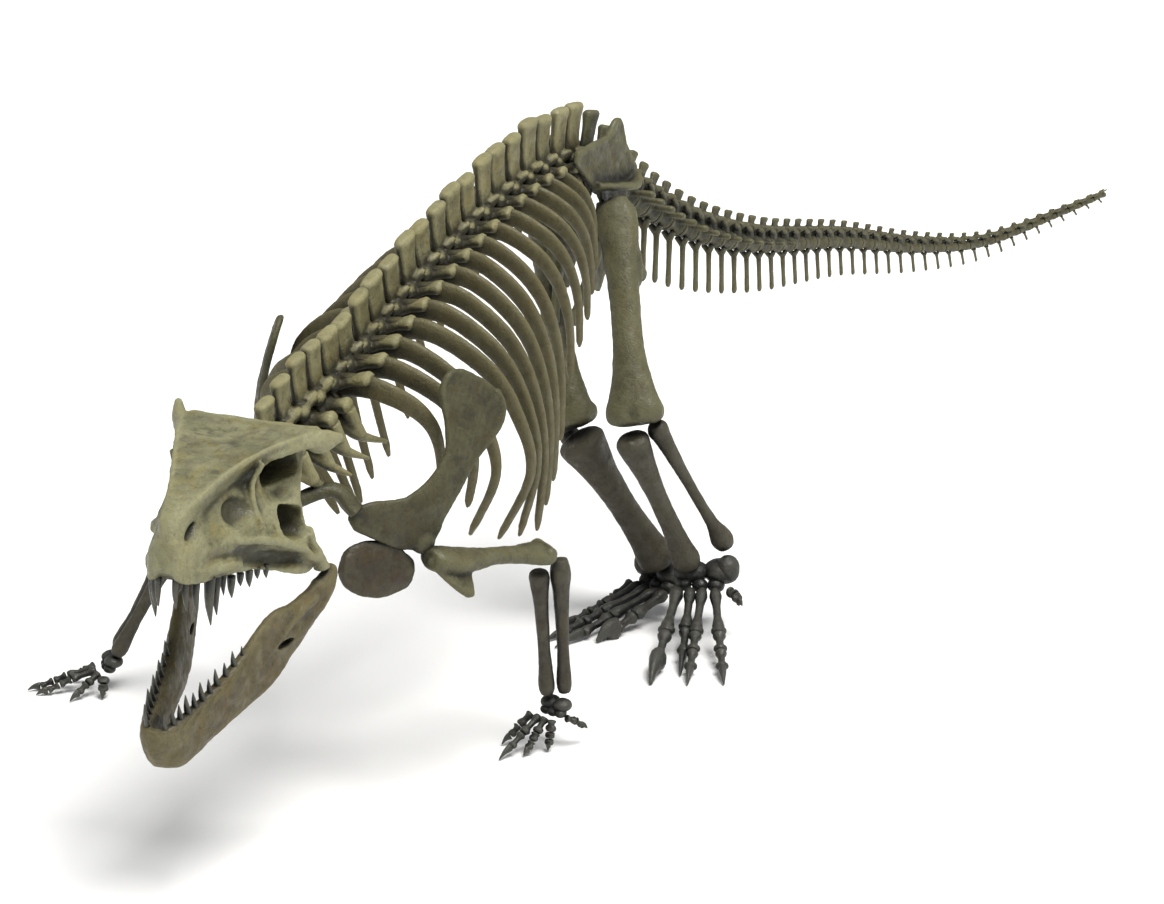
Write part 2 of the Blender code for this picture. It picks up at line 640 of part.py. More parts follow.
def build_jaw():
    """The lower jaw: two deep rami that meet at the chin, with its teeth."""
    forward, up = jaw_axes()
    hinge = head_point(JAW_HINGE[0], 0, JAW_HINGE[2])

    def place(share, wide, high):
        drift = 0.007 - 0.011 * share * share
        return hinge + forward * (share * JAW_LENGTH) + LEFT * (wide + drift) + up * high

    # share of the length, half width of the jaw, top, bottom, half thickness
    stations = [(-0.07, 0.0770, -0.006, -0.022, 0.006), (0.02, 0.0760, -0.004, -0.032, 0.009),
                (0.14, 0.065, -0.006, -0.048, 0.008), (0.27, 0.055, 0.004, -0.060, 0.0085),
                (0.38, 0.0485, 0.008, -0.070, 0.009), (0.54, 0.039, -0.003, -0.066, 0.0095),
                (0.72, 0.029, -0.007, -0.058, 0.0095), (0.87, 0.020, -0.005, -0.058, 0.0095),
                (0.955, 0.0135, -0.003, -0.058, 0.010), (0.99, 0.006, -0.004, -0.054, 0.009)]
    both = stations + [(row[0], -row[1], *row[2:]) for row in reversed(stations)]
    middles = [place(share, wide, (top + low) / 2) for share, wide, top, low, _ in both]
    rings = []
    for (point, _, _, along), (_, _, top, low, thick) in zip(frames_along(middles, up), both):
        across = along.cross(up).normalized()
        rings.append(oval(point, across, up, thick * 1.1, (top - low) / 2 * 1.12, 6, 0.0))
    shells = [loft(rings)]
    # teeth: share of the jaw, height above the gum, radius
    row = [(0.972, 0.020, 0.0034), (0.940, 0.022, 0.0038), (0.905, 0.020, 0.0038), (0.865, 0.024, 0.0042),
           (0.825, 0.018, 0.0038), (0.780, 0.022, 0.0040), (0.735, 0.016, 0.0036), (0.690, 0.020, 0.0038),
           (0.635, 0.016, 0.0036), (0.580, 0.020, 0.0038), (0.525, 0.014, 0.0032)]
    width = [(share, wide) for share, wide, _, _, _ in stations]
    for sign in (1.0, -1.0):
        for share, length, radius in row:
            gum = place(share, sign * profile(share, width), -0.018)
            shells.append(spike(gum, gum + up * (length + 0.012), radius))
    make_part("lower_jaw", shells, "bone_jaw")


# ---------------------------------------------------------------- shoulder girdle
def build_shoulder(side):
    """Scapula, coracoid and clavicle of one side."""
    sign = 1.0 if side == "left" else -1.0
    socket = Vector(SHOULDER[side])
    top = Vector(BLADE_TOP[side])
    base = socket + Vector((-sign * 0.018, 0.004, 0.016))
    axis = (top - base).normalized()
    normal = Vector((sign * 0.82, -0.57, 0.0))
    normal = (normal - axis * normal.dot(axis)).normalized()
    broad = axis.cross(normal).normalized()
    if broad.y < 0:
        broad = -broad
    reach = (top - base).length
    # share of the blade, half breadth, shift along the breadth, half thickness
    stations = [(-0.02, 0.040, -0.024, 0.008), (0.02, 0.049, -0.026, 0.009), (0.10, 0.045, -0.018, 0.009),
                (0.20, 0.029, -0.001, 0.0065), (0.38, 0.0225, 0.009, 0.006), (0.55, 0.0250, 0.010, 0.0055),
                (0.70, 0.036, 0.006, 0.005), (0.82, 0.045, 0.003, 0.0045), (0.92, 0.043, 0.002, 0.0045),
                (0.98, 0.033, 0.001, 0.0045), (1.00, 0.021, 0.001, 0.0035)]
    rings = []
    for share, half, shift, thick in stations:
        bow = normal * (0.016 * math.sin(math.pi * max(share, 0.0)))
        centre = base + axis * (share * reach) + broad * shift + bow
        rings.append(oval(centre, broad, normal, half, thick, 8))
    make_part("scapula_" + side, [loft(rings)], "bone_limb")

    plate_centre = base - axis * 0.0425 - broad * 0.019
    long_way = Vector((sign * 0.95, 0.30, -0.16)).normalized()
    flat_way = normal
    long_way = (long_way - flat_way * long_way.dot(flat_way)).normalized()
    low_way = flat_way.cross(long_way)
    rings = []
    halves = ((-1.0, 0.35), (-0.85, 0.70), (-0.4, 0.98), (0.1, 1.0), (0.6, 0.80), (0.9, 0.55), (1.0, 0.35))
    for share, half in halves:
        rings.append(oval(plate_centre + long_way * (share * 0.044), low_way, flat_way, half * 0.030,
                          0.0050 + 0.0028 * half, 8))
    make_part("coracoid_" + side, [loft(rings)], "bone_limb")

    start = base - broad * 0.082 + axis * 0.004 + normal * 0.004
    middle = Vector((sign * 0.045, -0.765, 0.330))
    end = Vector((sign * 0.005, -0.772, 0.322))
    path = spline([start, middle, end], 3)
    sizes = [(0.0042, 0.0075 - 0.0035 * i / (len(path) - 1)) for i in range(len(path))]
    make_part("clavicle_" + side, [tube(path, (0, 0, 1), sizes, 6)], "bone_limb")


# ---------------------------------------------------------------- long bones
def long_bone(name, start, end, front, stations, slot="bone_limb", extra=(), trim=0.0, count=8):
    """Bone between two joints.

    Each station is (share of the length, half width across, half depth fore and aft, shift across,
    shift to the front).
    """
    start = Vector(start)
    end = Vector(end)
    axis = (end - start).normalized()
    ahead = Vector(front)
    ahead = (ahead - axis * ahead.dot(axis)).normalized()
    across = axis.cross(ahead)
    start = start + axis * trim
    end = end - axis * trim
    rings = []
    for share, wide, deep, shift_across, shift_front in stations:
        point = start.lerp(end, share) + across * shift_across + ahead * shift_front
        rings.append(oval(point, across, ahead, wide, deep, count))
    make_part(name, [loft(rings)] + list(extra), slot)


# Each row: share of the length, half width across, half depth, shift across, shift to the front.
FEMUR_STATIONS = [(0.00, 0.014, 0.012, 0.0, 0.0), (0.03, 0.022, 0.017, 0.0, 0.0),
                  (0.10, 0.024, 0.018, 0.0, 0.0), (0.22, 0.021, 0.017, 0.0, 0.002),
                  (0.45, 0.019, 0.0165, 0.0, 0.004), (0.68, 0.020, 0.017, 0.0, 0.004),
                  (0.84, 0.028, 0.021, 0.0, 0.001), (0.93, 0.037, 0.024, 0.0, 0.0),
                  (0.98, 0.037, 0.023, 0.0, 0.0), (1.00, 0.028, 0.017, 0.0, 0.0)]
TIBIA_STATIONS = [(0.00, 0.015, 0.014, 0.0, 0.0), (0.03, 0.022, 0.021, 0.0, 0.0),
                  (0.12, 0.019, 0.018, 0.0, 0.0), (0.30, 0.014, 0.0135, 0.0, 0.0),
                  (0.55, 0.012, 0.0115, 0.0, 0.0), (0.80, 0.014, 0.013, 0.0, 0.0),
                  (0.94, 0.018, 0.016, 0.0, 0.0), (1.00, 0.015, 0.013, 0.0, 0.0)]
FIBULA_STATIONS = [(0.00, 0.008, 0.009, 0.0, 0.0), (0.04, 0.011, 0.013, 0.0, 0.0),
                   (0.14, 0.008, 0.010, 0.0, 0.0), (0.45, 0.0058, 0.0068, 0.0, 0.003),
                   (0.78, 0.0065, 0.0075, 0.0, 0.002), (0.93, 0.013, 0.013, 0.0, 0.0),
                   (1.00, 0.011, 0.010, 0.0, 0.0)]
HUMERUS_STATIONS = [(0.00, 0.012, 0.010, 0.0, 0.0), (0.04, 0.020, 0.013, 0.0, 0.0),
                    (0.16, 0.023, 0.012, 0.004, 0.0), (0.34, 0.016, 0.011, 0.004, 0.0),
                    (0.55, 0.0098, 0.0098, 0.0, 0.0), (0.74, 0.012, 0.010, 0.0, 0.0),
                    (0.90, 0.019, 0.012, 0.0, 0.0), (0.97, 0.019, 0.012, 0.0, 0.0),
                    (1.00, 0.014, 0.009, 0.0, 0.0)]
RADIUS_STATIONS = [(0.00, 0.007, 0.007, 0.0, 0.0), (0.05, 0.0105, 0.0105, 0.0, 0.0),
                   (0.25, 0.0070, 0.0070, 0.0, 0.0), (0.65, 0.0066, 0.0066, 0.0, 0.0),
                   (0.92, 0.009, 0.009, 0.0, 0.0), (1.00, 0.007, 0.007, 0.0, 0.0)]
ULNA_STATIONS = [(-0.04, 0.007, 0.008, 0.0, 0.0), (0.05, 0.011, 0.013, 0.0, 0.0),
                 (0.22, 0.0078, 0.009, 0.0, 0.0), (0.65, 0.0058, 0.0062, 0.0, 0.0),
                 (0.92, 0.0085, 0.0085, 0.0, 0.0), (1.00, 0.0065, 0.0065, 0.0, 0.0)]


def build_hind_leg(side):
    """Femur, tibia, fibula, ankle block and five toes."""
    sign = 1.0 if side == "left" else -1.0
    hip = Vector(HIP[side]) + Vector((sign * 0.010, 0, 0))
    knee = Vector(KNEE[side])
    ankle = Vector(ANKLE[side])
    front = Vector((sign * 0.25, -1.0, 0.15))
    head = tube([hip + Vector((sign * 0.0010, 0, 0.004)), hip + Vector((sign * 0.004, -0.004, -0.010))],
                (0, 0, 1), [(0.013, 0.012), (0.018, 0.015)], 8)
    bow = THIGH_BOW[side]
    thigh = [(share, wide, deep, x + bow * math.sin(math.pi * share), y)
             for share, wide, deep, x, y in FEMUR_STATIONS]
    long_bone("femur_" + side, hip, knee, front, thigh, extra=[head], trim=0.002)
    shin = (ankle - knee).normalized()
    outside = Vector(CALF_SIDE[side])
    outside = (outside - shin * outside.dot(shin)).normalized()
    stout = SHIN_SCALE[side]
    shaft = [(share, wide * stout, deep * stout, x, y) for share, wide, deep, x, y in TIBIA_STATIONS]
    upper = knee + shin * 0.0095 - outside * 0.012
    low_end = ankle - shin * 0.006
    long_bone("tibia_" + side, upper, low_end - outside * 0.014, front, shaft, trim=0.001)
    upper = knee + shin * 0.013 + outside * 0.0225 * stout
    long_bone("fibula_" + side, upper, low_end + outside * CALF_SPREAD[side], front, FIBULA_STATIONS,
              trim=0.001, count=6)


def digit_shell(root, knuckle, tip, radius, joints, claw):
    """One digit: its long base bone, then short bones down to a claw on the floor."""
    points = [root, root.lerp(knuckle, 0.45), knuckle]
    radii = [radius * 1.15, radius * 0.72, radius * 1.2]
    for k in range(1, joints + 1):
        share = k / (joints + 1)
        flat = knuckle.lerp(tip, share)
        points.append(knuckle.lerp(tip, share - 0.5 / (joints + 1)))
        radii.append(radius * 0.68)
        points.append(flat)
        radii.append(radius * blend(1.12, 0.95, share))
    points.append(knuckle.lerp(tip, 1.0 - 0.45 / (joints + 1)))
    radii.append(radius * 0.80 * claw)
    points.append(tip)
    radii.append(radius * 0.22)
    lifted = []
    for i, (point, half) in enumerate(zip(points, radii)):
        low = half * 0.78
        lifted.append(Vector((point.x, point.y, max(point.z, low))) if i > 1 else point)
    rings = []
    for (point, side, up, _), half in zip(frames_along(lifted, (0, 0, 1)), radii):
        rings.append(oval(point, side, up, half * 1.15, half * 1.15, 4))
    return loft(rings)


def build_digits(name, side, wrist, spread, tips, radius, root_reach, knuckle_share, knuckle_height, joints,
                 big_claw=1.0):
    """Five digits that fan out from the wrist or ankle to their tips; big_claw is for the first."""
    for number, end in enumerate(tips, start=1):
        tip = Vector(end)
        root = wrist + spread * (number - 3)
        flat = (tip - root)
        flat.z = 0
        root = root + flat.normalized() * root_reach
        knuckle = root.lerp(tip, knuckle_share)
        knuckle.z = blend(root.z, tip.z, 1.0 - knuckle_height) + radius
        size = radius * (1.10 if number == 1 else 0.88 if number == 5 else 1.0)
        claw = big_claw if number == 1 else 1.0
        make_part("{}_{}_{}".format(name, side, number),
                  [digit_shell(root, knuckle, tip, size, joints[number - 1], claw)], "bone_limb")


def build_hind_foot(side):
    """Ankle block and toes."""
    ankle = Vector(ANKLE[side])
    tips = TOE_TIPS[side]
    ahead = Vector((tips[2][0] - ankle.x, tips[2][1] - ankle.y, 0)).normalized()
    across = Vector((-ahead.y, ahead.x, 0)) * (1.0 if side == "left" else -1.0)
    shin = (ankle - Vector(KNEE[side])).normalized()
    centre = ankle + shin * 0.015
    lumps = [pebble(centre - across * 0.016, (across, ahead, UP), (0.024, 0.019, 0.013)),
             pebble(centre + across * 0.021 - ahead * 0.004, (across, ahead, UP), (0.022, 0.024, 0.014)),
             pebble(centre + ahead * 0.012 - UP * 0.012, (across, ahead, UP), (0.035, 0.013, 0.010))]
    make_part("ankle_" + side, lumps, "bone_limb")
    root = centre + ahead * 0.020 - UP * 0.016
    build_digits("toe", side, root, across * 0.0150, tips, 0.0066, 0.006, 0.46, FOOT_ARCH[side],
                 (1, 1, 2, 2, 1), 1.9)


def build_fore_leg(side):
    """Humerus, radius and ulna."""
    sign = 1.0 if side == "left" else -1.0
    shoulder = Vector(SHOULDER[side]) + Vector((sign * 0.006, 0.004, -0.002))
    elbow = Vector(ELBOW[side])
    wrist = Vector(WRIST[side])
    arm = (elbow - shoulder).normalized()
    front = Vector((sign * 0.2, -0.3, 1.0))
    ahead = (front - arm * front.dot(arm)).normalized()
    across = arm.cross(ahead)
    low = across if across.z < 0 else -across
    low = (low * 0.55 + Vector((sign * 0.25, -0.30, -0.85))).normalized()
    low = (low - arm * low.dot(arm)).normalized()
    crest = loft([block(shoulder + arm * 0.0335, arm, low.cross(arm), 0.0255, 0.0057),
                  block(shoulder + arm * 0.036 + low * 0.024, arm, low.cross(arm), 0.020, 0.0050),
                  block(shoulder + arm * 0.044 + low * 0.042, arm, low.cross(arm), 0.009, 0.0045)])
    long_bone("humerus_" + side, shoulder, elbow, ahead, HUMERUS_STATIONS, extra=[crest], trim=0.004)
    shin = (wrist - elbow).normalized()
    inside = Vector((-0.80, -0.60, 0.0)) if side == "left" else Vector((0.55, -0.80, 0.0))
    inside = (inside - shin * inside.dot(shin)).normalized()
    low_end = wrist - shin * 0.003
    long_bone("radius_" + side, elbow + shin * 0.020 + inside * 0.0145, low_end + inside * 0.010,
              inside, RADIUS_STATIONS, count=6)
    long_bone("ulna_" + side, elbow + shin * 0.018 - inside * 0.010, low_end - inside * 0.010,
              inside, ULNA_STATIONS, count=6)


def build_hand(side):
    """Wrist block and fingers."""
    wrist = Vector(WRIST[side])
    tips = FINGER_TIPS[side]
    ahead = Vector((tips[2][0] - wrist.x, tips[2][1] - wrist.y, 0)).normalized()
    across = Vector((-ahead.y, ahead.x, 0))
    if side == "right":
        across = -across
    shin = (wrist - Vector(ELBOW[side])).normalized()
    centre = wrist + shin * 0.0095
    lumps = [pebble(centre - across * 0.008, (across, ahead, UP), (0.013, 0.012, 0.0085)),
             pebble(centre + across * 0.009, (across, ahead, UP), (0.012, 0.012, 0.0085)),
             pebble(centre + ahead * 0.005 - UP * 0.007, (across, ahead, UP), (0.019, 0.009, 0.007))]
    make_part("wrist_" + side, lumps, "bone_limb")
    root = centre + ahead * 0.012 - UP * 0.012
    build_digits("finger", side, root, across * 0.0085, tips, 0.0046, 0.007, 0.42, 0.50, (1, 1, 2, 2, 1))


# ---------------------------------------------------------------- placing
def centre_on_floor():
    """Move the whole model so that its box stands on the floor with its middle at the origin."""
    corners = [made.matrix_world @ vert.co for made in PARTS.objects for vert in made.data.vertices]
    middle = [(min(c[i] for c in corners) + max(c[i] for c in corners)) / 2 for i in range(2)]
    floor = min(c.z for c in corners)
    shift = Matrix.Translation((-middle[0], -middle[1], -floor))
    for made in PARTS.objects:
        made.data.transform(shift)
    print("model shift", [round(value, 5) for value in (-middle[0], -middle[1], -floor)])


def main():
    """Build every part of the skeleton."""
    build_skull()
    build_jaw()
    build_neck()
    build_rib_cage()
    build_sacrum()
    build_tail()
    for side in ("left", "right"):
        build_hip(side)
        build_shoulder(side)
        build_fore_leg(side)
        build_hand(side)
        build_hind_leg(side)
        build_hind_foot(side)
    centre_on_floor()


main()
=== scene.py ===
"""A mounted early archosauriform skeleton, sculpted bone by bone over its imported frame.

The animal faces -Y and its left side is +X.  Lengths are metres, Z is up and the floor is Z = 0.
Every bone is worked out in the animal's own axes and then moved by MODEL_SHIFT into the frame.
"""

import itertools
import logging
import math
from dataclasses import dataclass, field
from enum import Enum
from typing import Callable, Sequence

import bmesh
import bpy
import numpy as np
from mathutils import Matrix, Vector

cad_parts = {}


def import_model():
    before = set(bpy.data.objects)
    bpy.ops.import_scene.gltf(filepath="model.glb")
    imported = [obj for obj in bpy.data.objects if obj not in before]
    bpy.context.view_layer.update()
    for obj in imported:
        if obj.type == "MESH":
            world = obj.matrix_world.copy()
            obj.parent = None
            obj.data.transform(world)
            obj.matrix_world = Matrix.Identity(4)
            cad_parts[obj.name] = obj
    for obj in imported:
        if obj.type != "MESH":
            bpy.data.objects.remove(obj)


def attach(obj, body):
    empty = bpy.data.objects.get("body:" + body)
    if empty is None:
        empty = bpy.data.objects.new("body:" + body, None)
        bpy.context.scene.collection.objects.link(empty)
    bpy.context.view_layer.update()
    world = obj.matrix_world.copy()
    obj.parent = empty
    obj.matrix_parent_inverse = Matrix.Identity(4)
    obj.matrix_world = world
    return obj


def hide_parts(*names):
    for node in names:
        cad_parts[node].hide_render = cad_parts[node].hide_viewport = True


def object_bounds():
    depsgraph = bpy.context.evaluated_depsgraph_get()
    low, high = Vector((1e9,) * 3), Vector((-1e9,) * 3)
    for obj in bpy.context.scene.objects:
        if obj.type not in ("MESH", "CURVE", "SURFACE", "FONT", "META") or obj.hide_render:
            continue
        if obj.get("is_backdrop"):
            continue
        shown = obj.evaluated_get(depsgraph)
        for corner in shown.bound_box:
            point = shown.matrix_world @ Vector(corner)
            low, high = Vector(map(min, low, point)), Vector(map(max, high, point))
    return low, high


LOG = logging.getLogger("skeleton")

Colour = tuple[float, float, float]
Knots = Sequence[tuple[float, ...]]

# ---------------------------------------------------------------- driving sizes
MODEL_SHIFT = Vector((0.08176, -0.21827, 0.0))
UP = Vector((0.0, 0.0, 1.0))
RIGHTWARD = Vector((1.0, 0.0, 0.0))
BACKWARD = Vector((0.0, 1.0, 0.0))
BOTH_WAYS = (1.0, -1.0)
BODY = "root"

NECK_LINE = [(0.0, -0.795, 0.398), (0.0, -0.735, 0.413), (0.0, -0.660, 0.429)]
BACK_LINE = [(0.0, -0.660, 0.429), (0.0, -0.600, 0.450), (0.0, -0.500, 0.486), (0.0, -0.390, 0.519),
             (0.0, -0.270, 0.548), (0.0, -0.150, 0.564), (0.0, -0.045, 0.558)]
HIP_LINE = [(0.0, -0.045, 0.558), (0.0, 0.015, 0.543), (0.0, 0.075, 0.518)]
TAIL_LINE = [(0.0, 0.075, 0.518), (0.003, 0.180, 0.466), (0.015, 0.300, 0.414), (0.030, 0.477, 0.362),
             (0.050, 0.729, 0.313), (0.085, 0.960, 0.257), (0.125, 1.160, 0.226), (0.175, 1.375, 0.231),
             (0.210, 1.507, 0.240)]
CERVICALS = 4
DORSALS = 17
SACRALS = 3
CAUDALS = 40
TAIL_RUNS = [(0, 9), (9, 19), (19, 29), (29, 40)]


class Side(Enum):
    """The animal's own left and right."""

    LEFT = "left"
    RIGHT = "right"

    @property
    def sign(self) -> float:
        """1 for the left side, which is +X, and -1 for the right."""
        return 1.0 if self is Side.LEFT else -1.0


# ---------------------------------------------------------------- paths and sections
@dataclass(frozen=True)
class Place:
    """A point of a path with the directions of the path there."""

    point: Vector
    side: Vector
    up: Vector
    along: Vector

    def at(self, across: float = 0.0, rise: float = 0.0, ahead: float = 0.0) -> Vector:
        """Give the point that lies so far sideways, upwards and along from here."""
        return self.point + self.side * across + self.up * rise + self.along * ahead


def blend(low: float, high: float, share: float) -> float:
    """Value between low and high."""
    return low + (high - low) * share


def uneven(number: int, kind: int) -> float:
    """Give a small repeatable unevenness from -1 to 1 for one of several like bones."""
    return math.sin(2.4 * number + 1.7 * kind * kind)


def profile(share: float, knots: Knots, column: int = 1) -> float:
    """Read a value at share along a line through knots.

    Args:
        share: Place along the line, in the first column of the knots.
        knots: Rows of (share, value, value ...), in rising order of share.
        column: Which value of the rows to read.

    Returns:
        The value, held flat beyond the first and the last knot.
    """
    if share <= knots[0][0]:
        return knots[0][column]
    for low, high in zip(knots, knots[1:]):
        if share <= high[0]:
            return blend(low[column], high[column], (share - low[0]) / (high[0] - low[0]))
    return knots[-1][column]


def spline(rows: Sequence[Sequence[float]], steps: int) -> list[np.ndarray]:
    """Sample a smooth curve through rows of numbers.

    Args:
        rows: Points, or any rows of equal length.
        steps: Samples to each span.

    Returns:
        The sampled rows, both ends included.
    """
    knots = [np.array(row, dtype=float) for row in rows]
    padded = [2 * knots[0] - knots[1]] + knots + [2 * knots[-1] - knots[-2]]
    samples = []
    for i in range(1, len(padded) - 2):
        before, start, end, after = padded[i - 1:i + 3]
        for t in np.arange(steps) / steps:
            bend = 2 * before - 5 * start + 4 * end - after
            twist = -before + 3 * start - 3 * end + after
            samples.append(0.5 * (2 * start + t * (end - before) + t * t * bend + t ** 3 * twist))
    samples.append(knots[-1])
    return samples


def curve(points: Sequence[Sequence[float]], steps: int) -> list[Vector]:
    """Give a smooth curve through points, as vectors."""
    return [Vector(row) for row in spline(points, steps)]


def taper(sizes: Knots, steps: int = 3) -> list[tuple[float, ...]]:
    """Fill in the sizes of a bar between those at the main points of its curve."""
    return [tuple(float(size) for size in row) for row in spline(sizes, steps)]


def eased(radii: Sequence[float], steps: int = 3) -> list[float]:
    """Fill in the radii of a rod between those at the main points of its curve."""
    return [float(row[0]) for row in spline([(radius,) for radius in radii], steps)]


def even_points(points: Sequence[Sequence[float]], count: int) -> list[Vector]:
    """Share out points evenly along a smooth curve.

    Args:
        points: Main points of the curve.
        count: Number of spans.

    Returns:
        The ends of the spans, one more than there are spans.
    """
    fine = curve(points, 24)
    reach = [0.0]
    for a, b in zip(fine, fine[1:]):
        reach.append(reach[-1] + (b - a).length)
    result = []
    index = 0
    for k in range(count + 1):
        goal = reach[-1] * k / count
        while index < len(fine) - 2 and reach[index + 1] < goal:
            index += 1
        share = (goal - reach[index]) / (reach[index + 1] - reach[index])
        result.append(fine[index].lerp(fine[index + 1], share))
    return result


def places_along(points: Sequence[Vector], sideways: Vector) -> list[Place]:
    """Give the directions at each point of a path.

    Args:
        points: Points of the path.
        sideways: Roughly the side direction; each place's own side is square to the path.

    Returns:
        A place for each point.
    """
    places = []
    for i, point in enumerate(points):
        along = (points[min(i + 1, len(points) - 1)] - points[max(i - 1, 0)]).normalized()
        up = Vector(sideways).cross(along).normalized()
        places.append(Place(point, along.cross(up).normalized(), up, along))
    return places


def between(first: Place, second: Place) -> Place:
    """Give the place halfway between two joints of a run."""
    return Place((first.point + second.point) / 2, (first.side + second.side).normalized(),
                 (first.up + second.up).normalized(), first.along)


def oval(centre: Vector, side: Vector, up: Vector, half_side: float, half_up: float, count: int,
         square: float = 1.0) -> list[Vector]:
    """Points of a rounded section.

    Args:
        centre: Middle of the section.
        side: First direction of the section.
        up: Second direction of the section.
        half_side: Half width along side.
        half_up: Half width along up.
        count: Number of points.
        square: 1 for an ellipse, and less for a boxier outline.

    Returns:
        The points in order round the section.
    """
    ring = []
    for i in range(count):
        angle = 2 * math.pi * (i + 0.5) / count
        x = math.copysign(abs(math.cos(angle)) ** square, math.cos(angle))
        y = math.copysign(abs(math.sin(angle)) ** square, math.sin(angle))
        ring.append(centre + side * (half_side * x) + up * (half_up * y))
    return ring


def column_places() -> list[Place]:
    """Give the joints of the whole back bone, from behind the skull to the tail tip."""
    joints = even_points(NECK_LINE, CERVICALS)
    joints += even_points(BACK_LINE, DORSALS)[1:]
    joints += even_points(HIP_LINE, SACRALS)[1:]
    joints += even_points(TAIL_LINE, CAUDALS)[1:]
    return places_along(joints, RIGHTWARD)


COLUMN = column_places()
CHEST_START = CERVICALS
HIP_START = CHEST_START + DORSALS
TAIL_START = HIP_START + SACRALS


# ---------------------------------------------------------------- clay: shells fused into one bone
# Share of the small faces that is left on a finished bone.
KEPT_FACES = 0.42
# Share, size and pattern of the two sorts of bumps on a bone.
BUMPS = ((0.6, 0.011, 3), (0.4, 0.0045, 8))
# Multipliers that scatter the numbers of the noise's boxes, its patterns and the mixture of both.
SCATTER = (73856093, 19349663, 83492791, 40503, 1274126177)
# Rise of a rod, against its length, from which it counts as upright.
STEEP = 0.8


def ripple(points: np.ndarray, cell: float, seed: int) -> np.ndarray:
    """Smooth noise between -1 and 1 that is the same on every run.

    Args:
        points: Positions, one row each.
        cell: Size of the lumps.
        seed: Picks one of many patterns.

    Returns:
        One value for each row.
    """
    grid = points / cell
    base = np.floor(grid).astype(np.int64)
    part = grid - base
    part = part * part * (3.0 - 2.0 * part)
    total = np.zeros(len(points))
    for corner in itertools.product((0, 1), repeat=3):
        key = base + np.array(corner)
        mixed = np.bitwise_xor.reduce(key * np.array(SCATTER[:3]), axis=1) ^ (seed * SCATTER[3])
        mixed = ((mixed ^ (mixed >> 13)) * SCATTER[4]) & 0x7FFFFFFF
        weight = np.prod(np.where(np.array(corner) == 1, part, 1.0 - part), axis=1)
        total += (mixed / 0x3FFFFFFF - 1.0) * weight
    return total


def mesh_points(mesh: bpy.types.Mesh) -> np.ndarray:
    """Positions of a mesh's vertices, one row each."""
    flat = np.empty(len(mesh.vertices) * 3)
    mesh.vertices.foreach_get("co", flat)
    return flat.reshape(-1, 3)


def mesh_normals(mesh: bpy.types.Mesh) -> np.ndarray:
    """Normals of a mesh's vertices, one row each."""
    flat = np.empty(len(mesh.vertices) * 3)
    mesh.vertex_normals.foreach_get("vector", flat)
    return flat.reshape(-1, 3)


def neighbour_mean(values: np.ndarray, edges: np.ndarray, rounds: int) -> np.ndarray:
    """Average each row of values with its neighbours' rows, over and over.

    Args:
        values: One row for each vertex.
        edges: Pairs of vertex numbers.
        rounds: How many times to average.

    Returns:
        The averaged rows.
    """
    count = np.bincount(edges.ravel(), minlength=len(values)).clip(1)
    for _ in range(rounds):
        total = np.empty_like(values)
        for axis in range(values.shape[1]):
            row = values[:, axis]
            total[:, axis] = (np.bincount(edges[:, 0], row[edges[:, 1]], len(values))
                              + np.bincount(edges[:, 1], row[edges[:, 0]], len(values)))
        values = total / count[:, None]
    return values


def profile_of(values: np.ndarray, knots: Knots) -> np.ndarray:
    """Give the value of a profile at each of many places."""
    return np.interp(values, [knot[0] for knot in knots], [knot[1] for knot in knots])


def spread(grid: np.ndarray, axis: int, radius: int) -> np.ndarray:
    """Average a grid over a few boxes each way along one axis.

    Args:
        grid: Values in boxes.
        axis: Which axis to average along.
        radius: How many boxes each way.

    Returns:
        The averaged grid.
    """
    padding = [(0, 0)] * grid.ndim
    padding[axis] = (radius + 1, radius)
    total = np.cumsum(np.pad(grid, padding), axis=axis)
    size = grid.shape[axis]
    high = np.take(total, range(2 * radius + 1, 2 * radius + 1 + size), axis=axis)
    return (high - np.take(total, range(size), axis=axis)) / (2 * radius + 1)


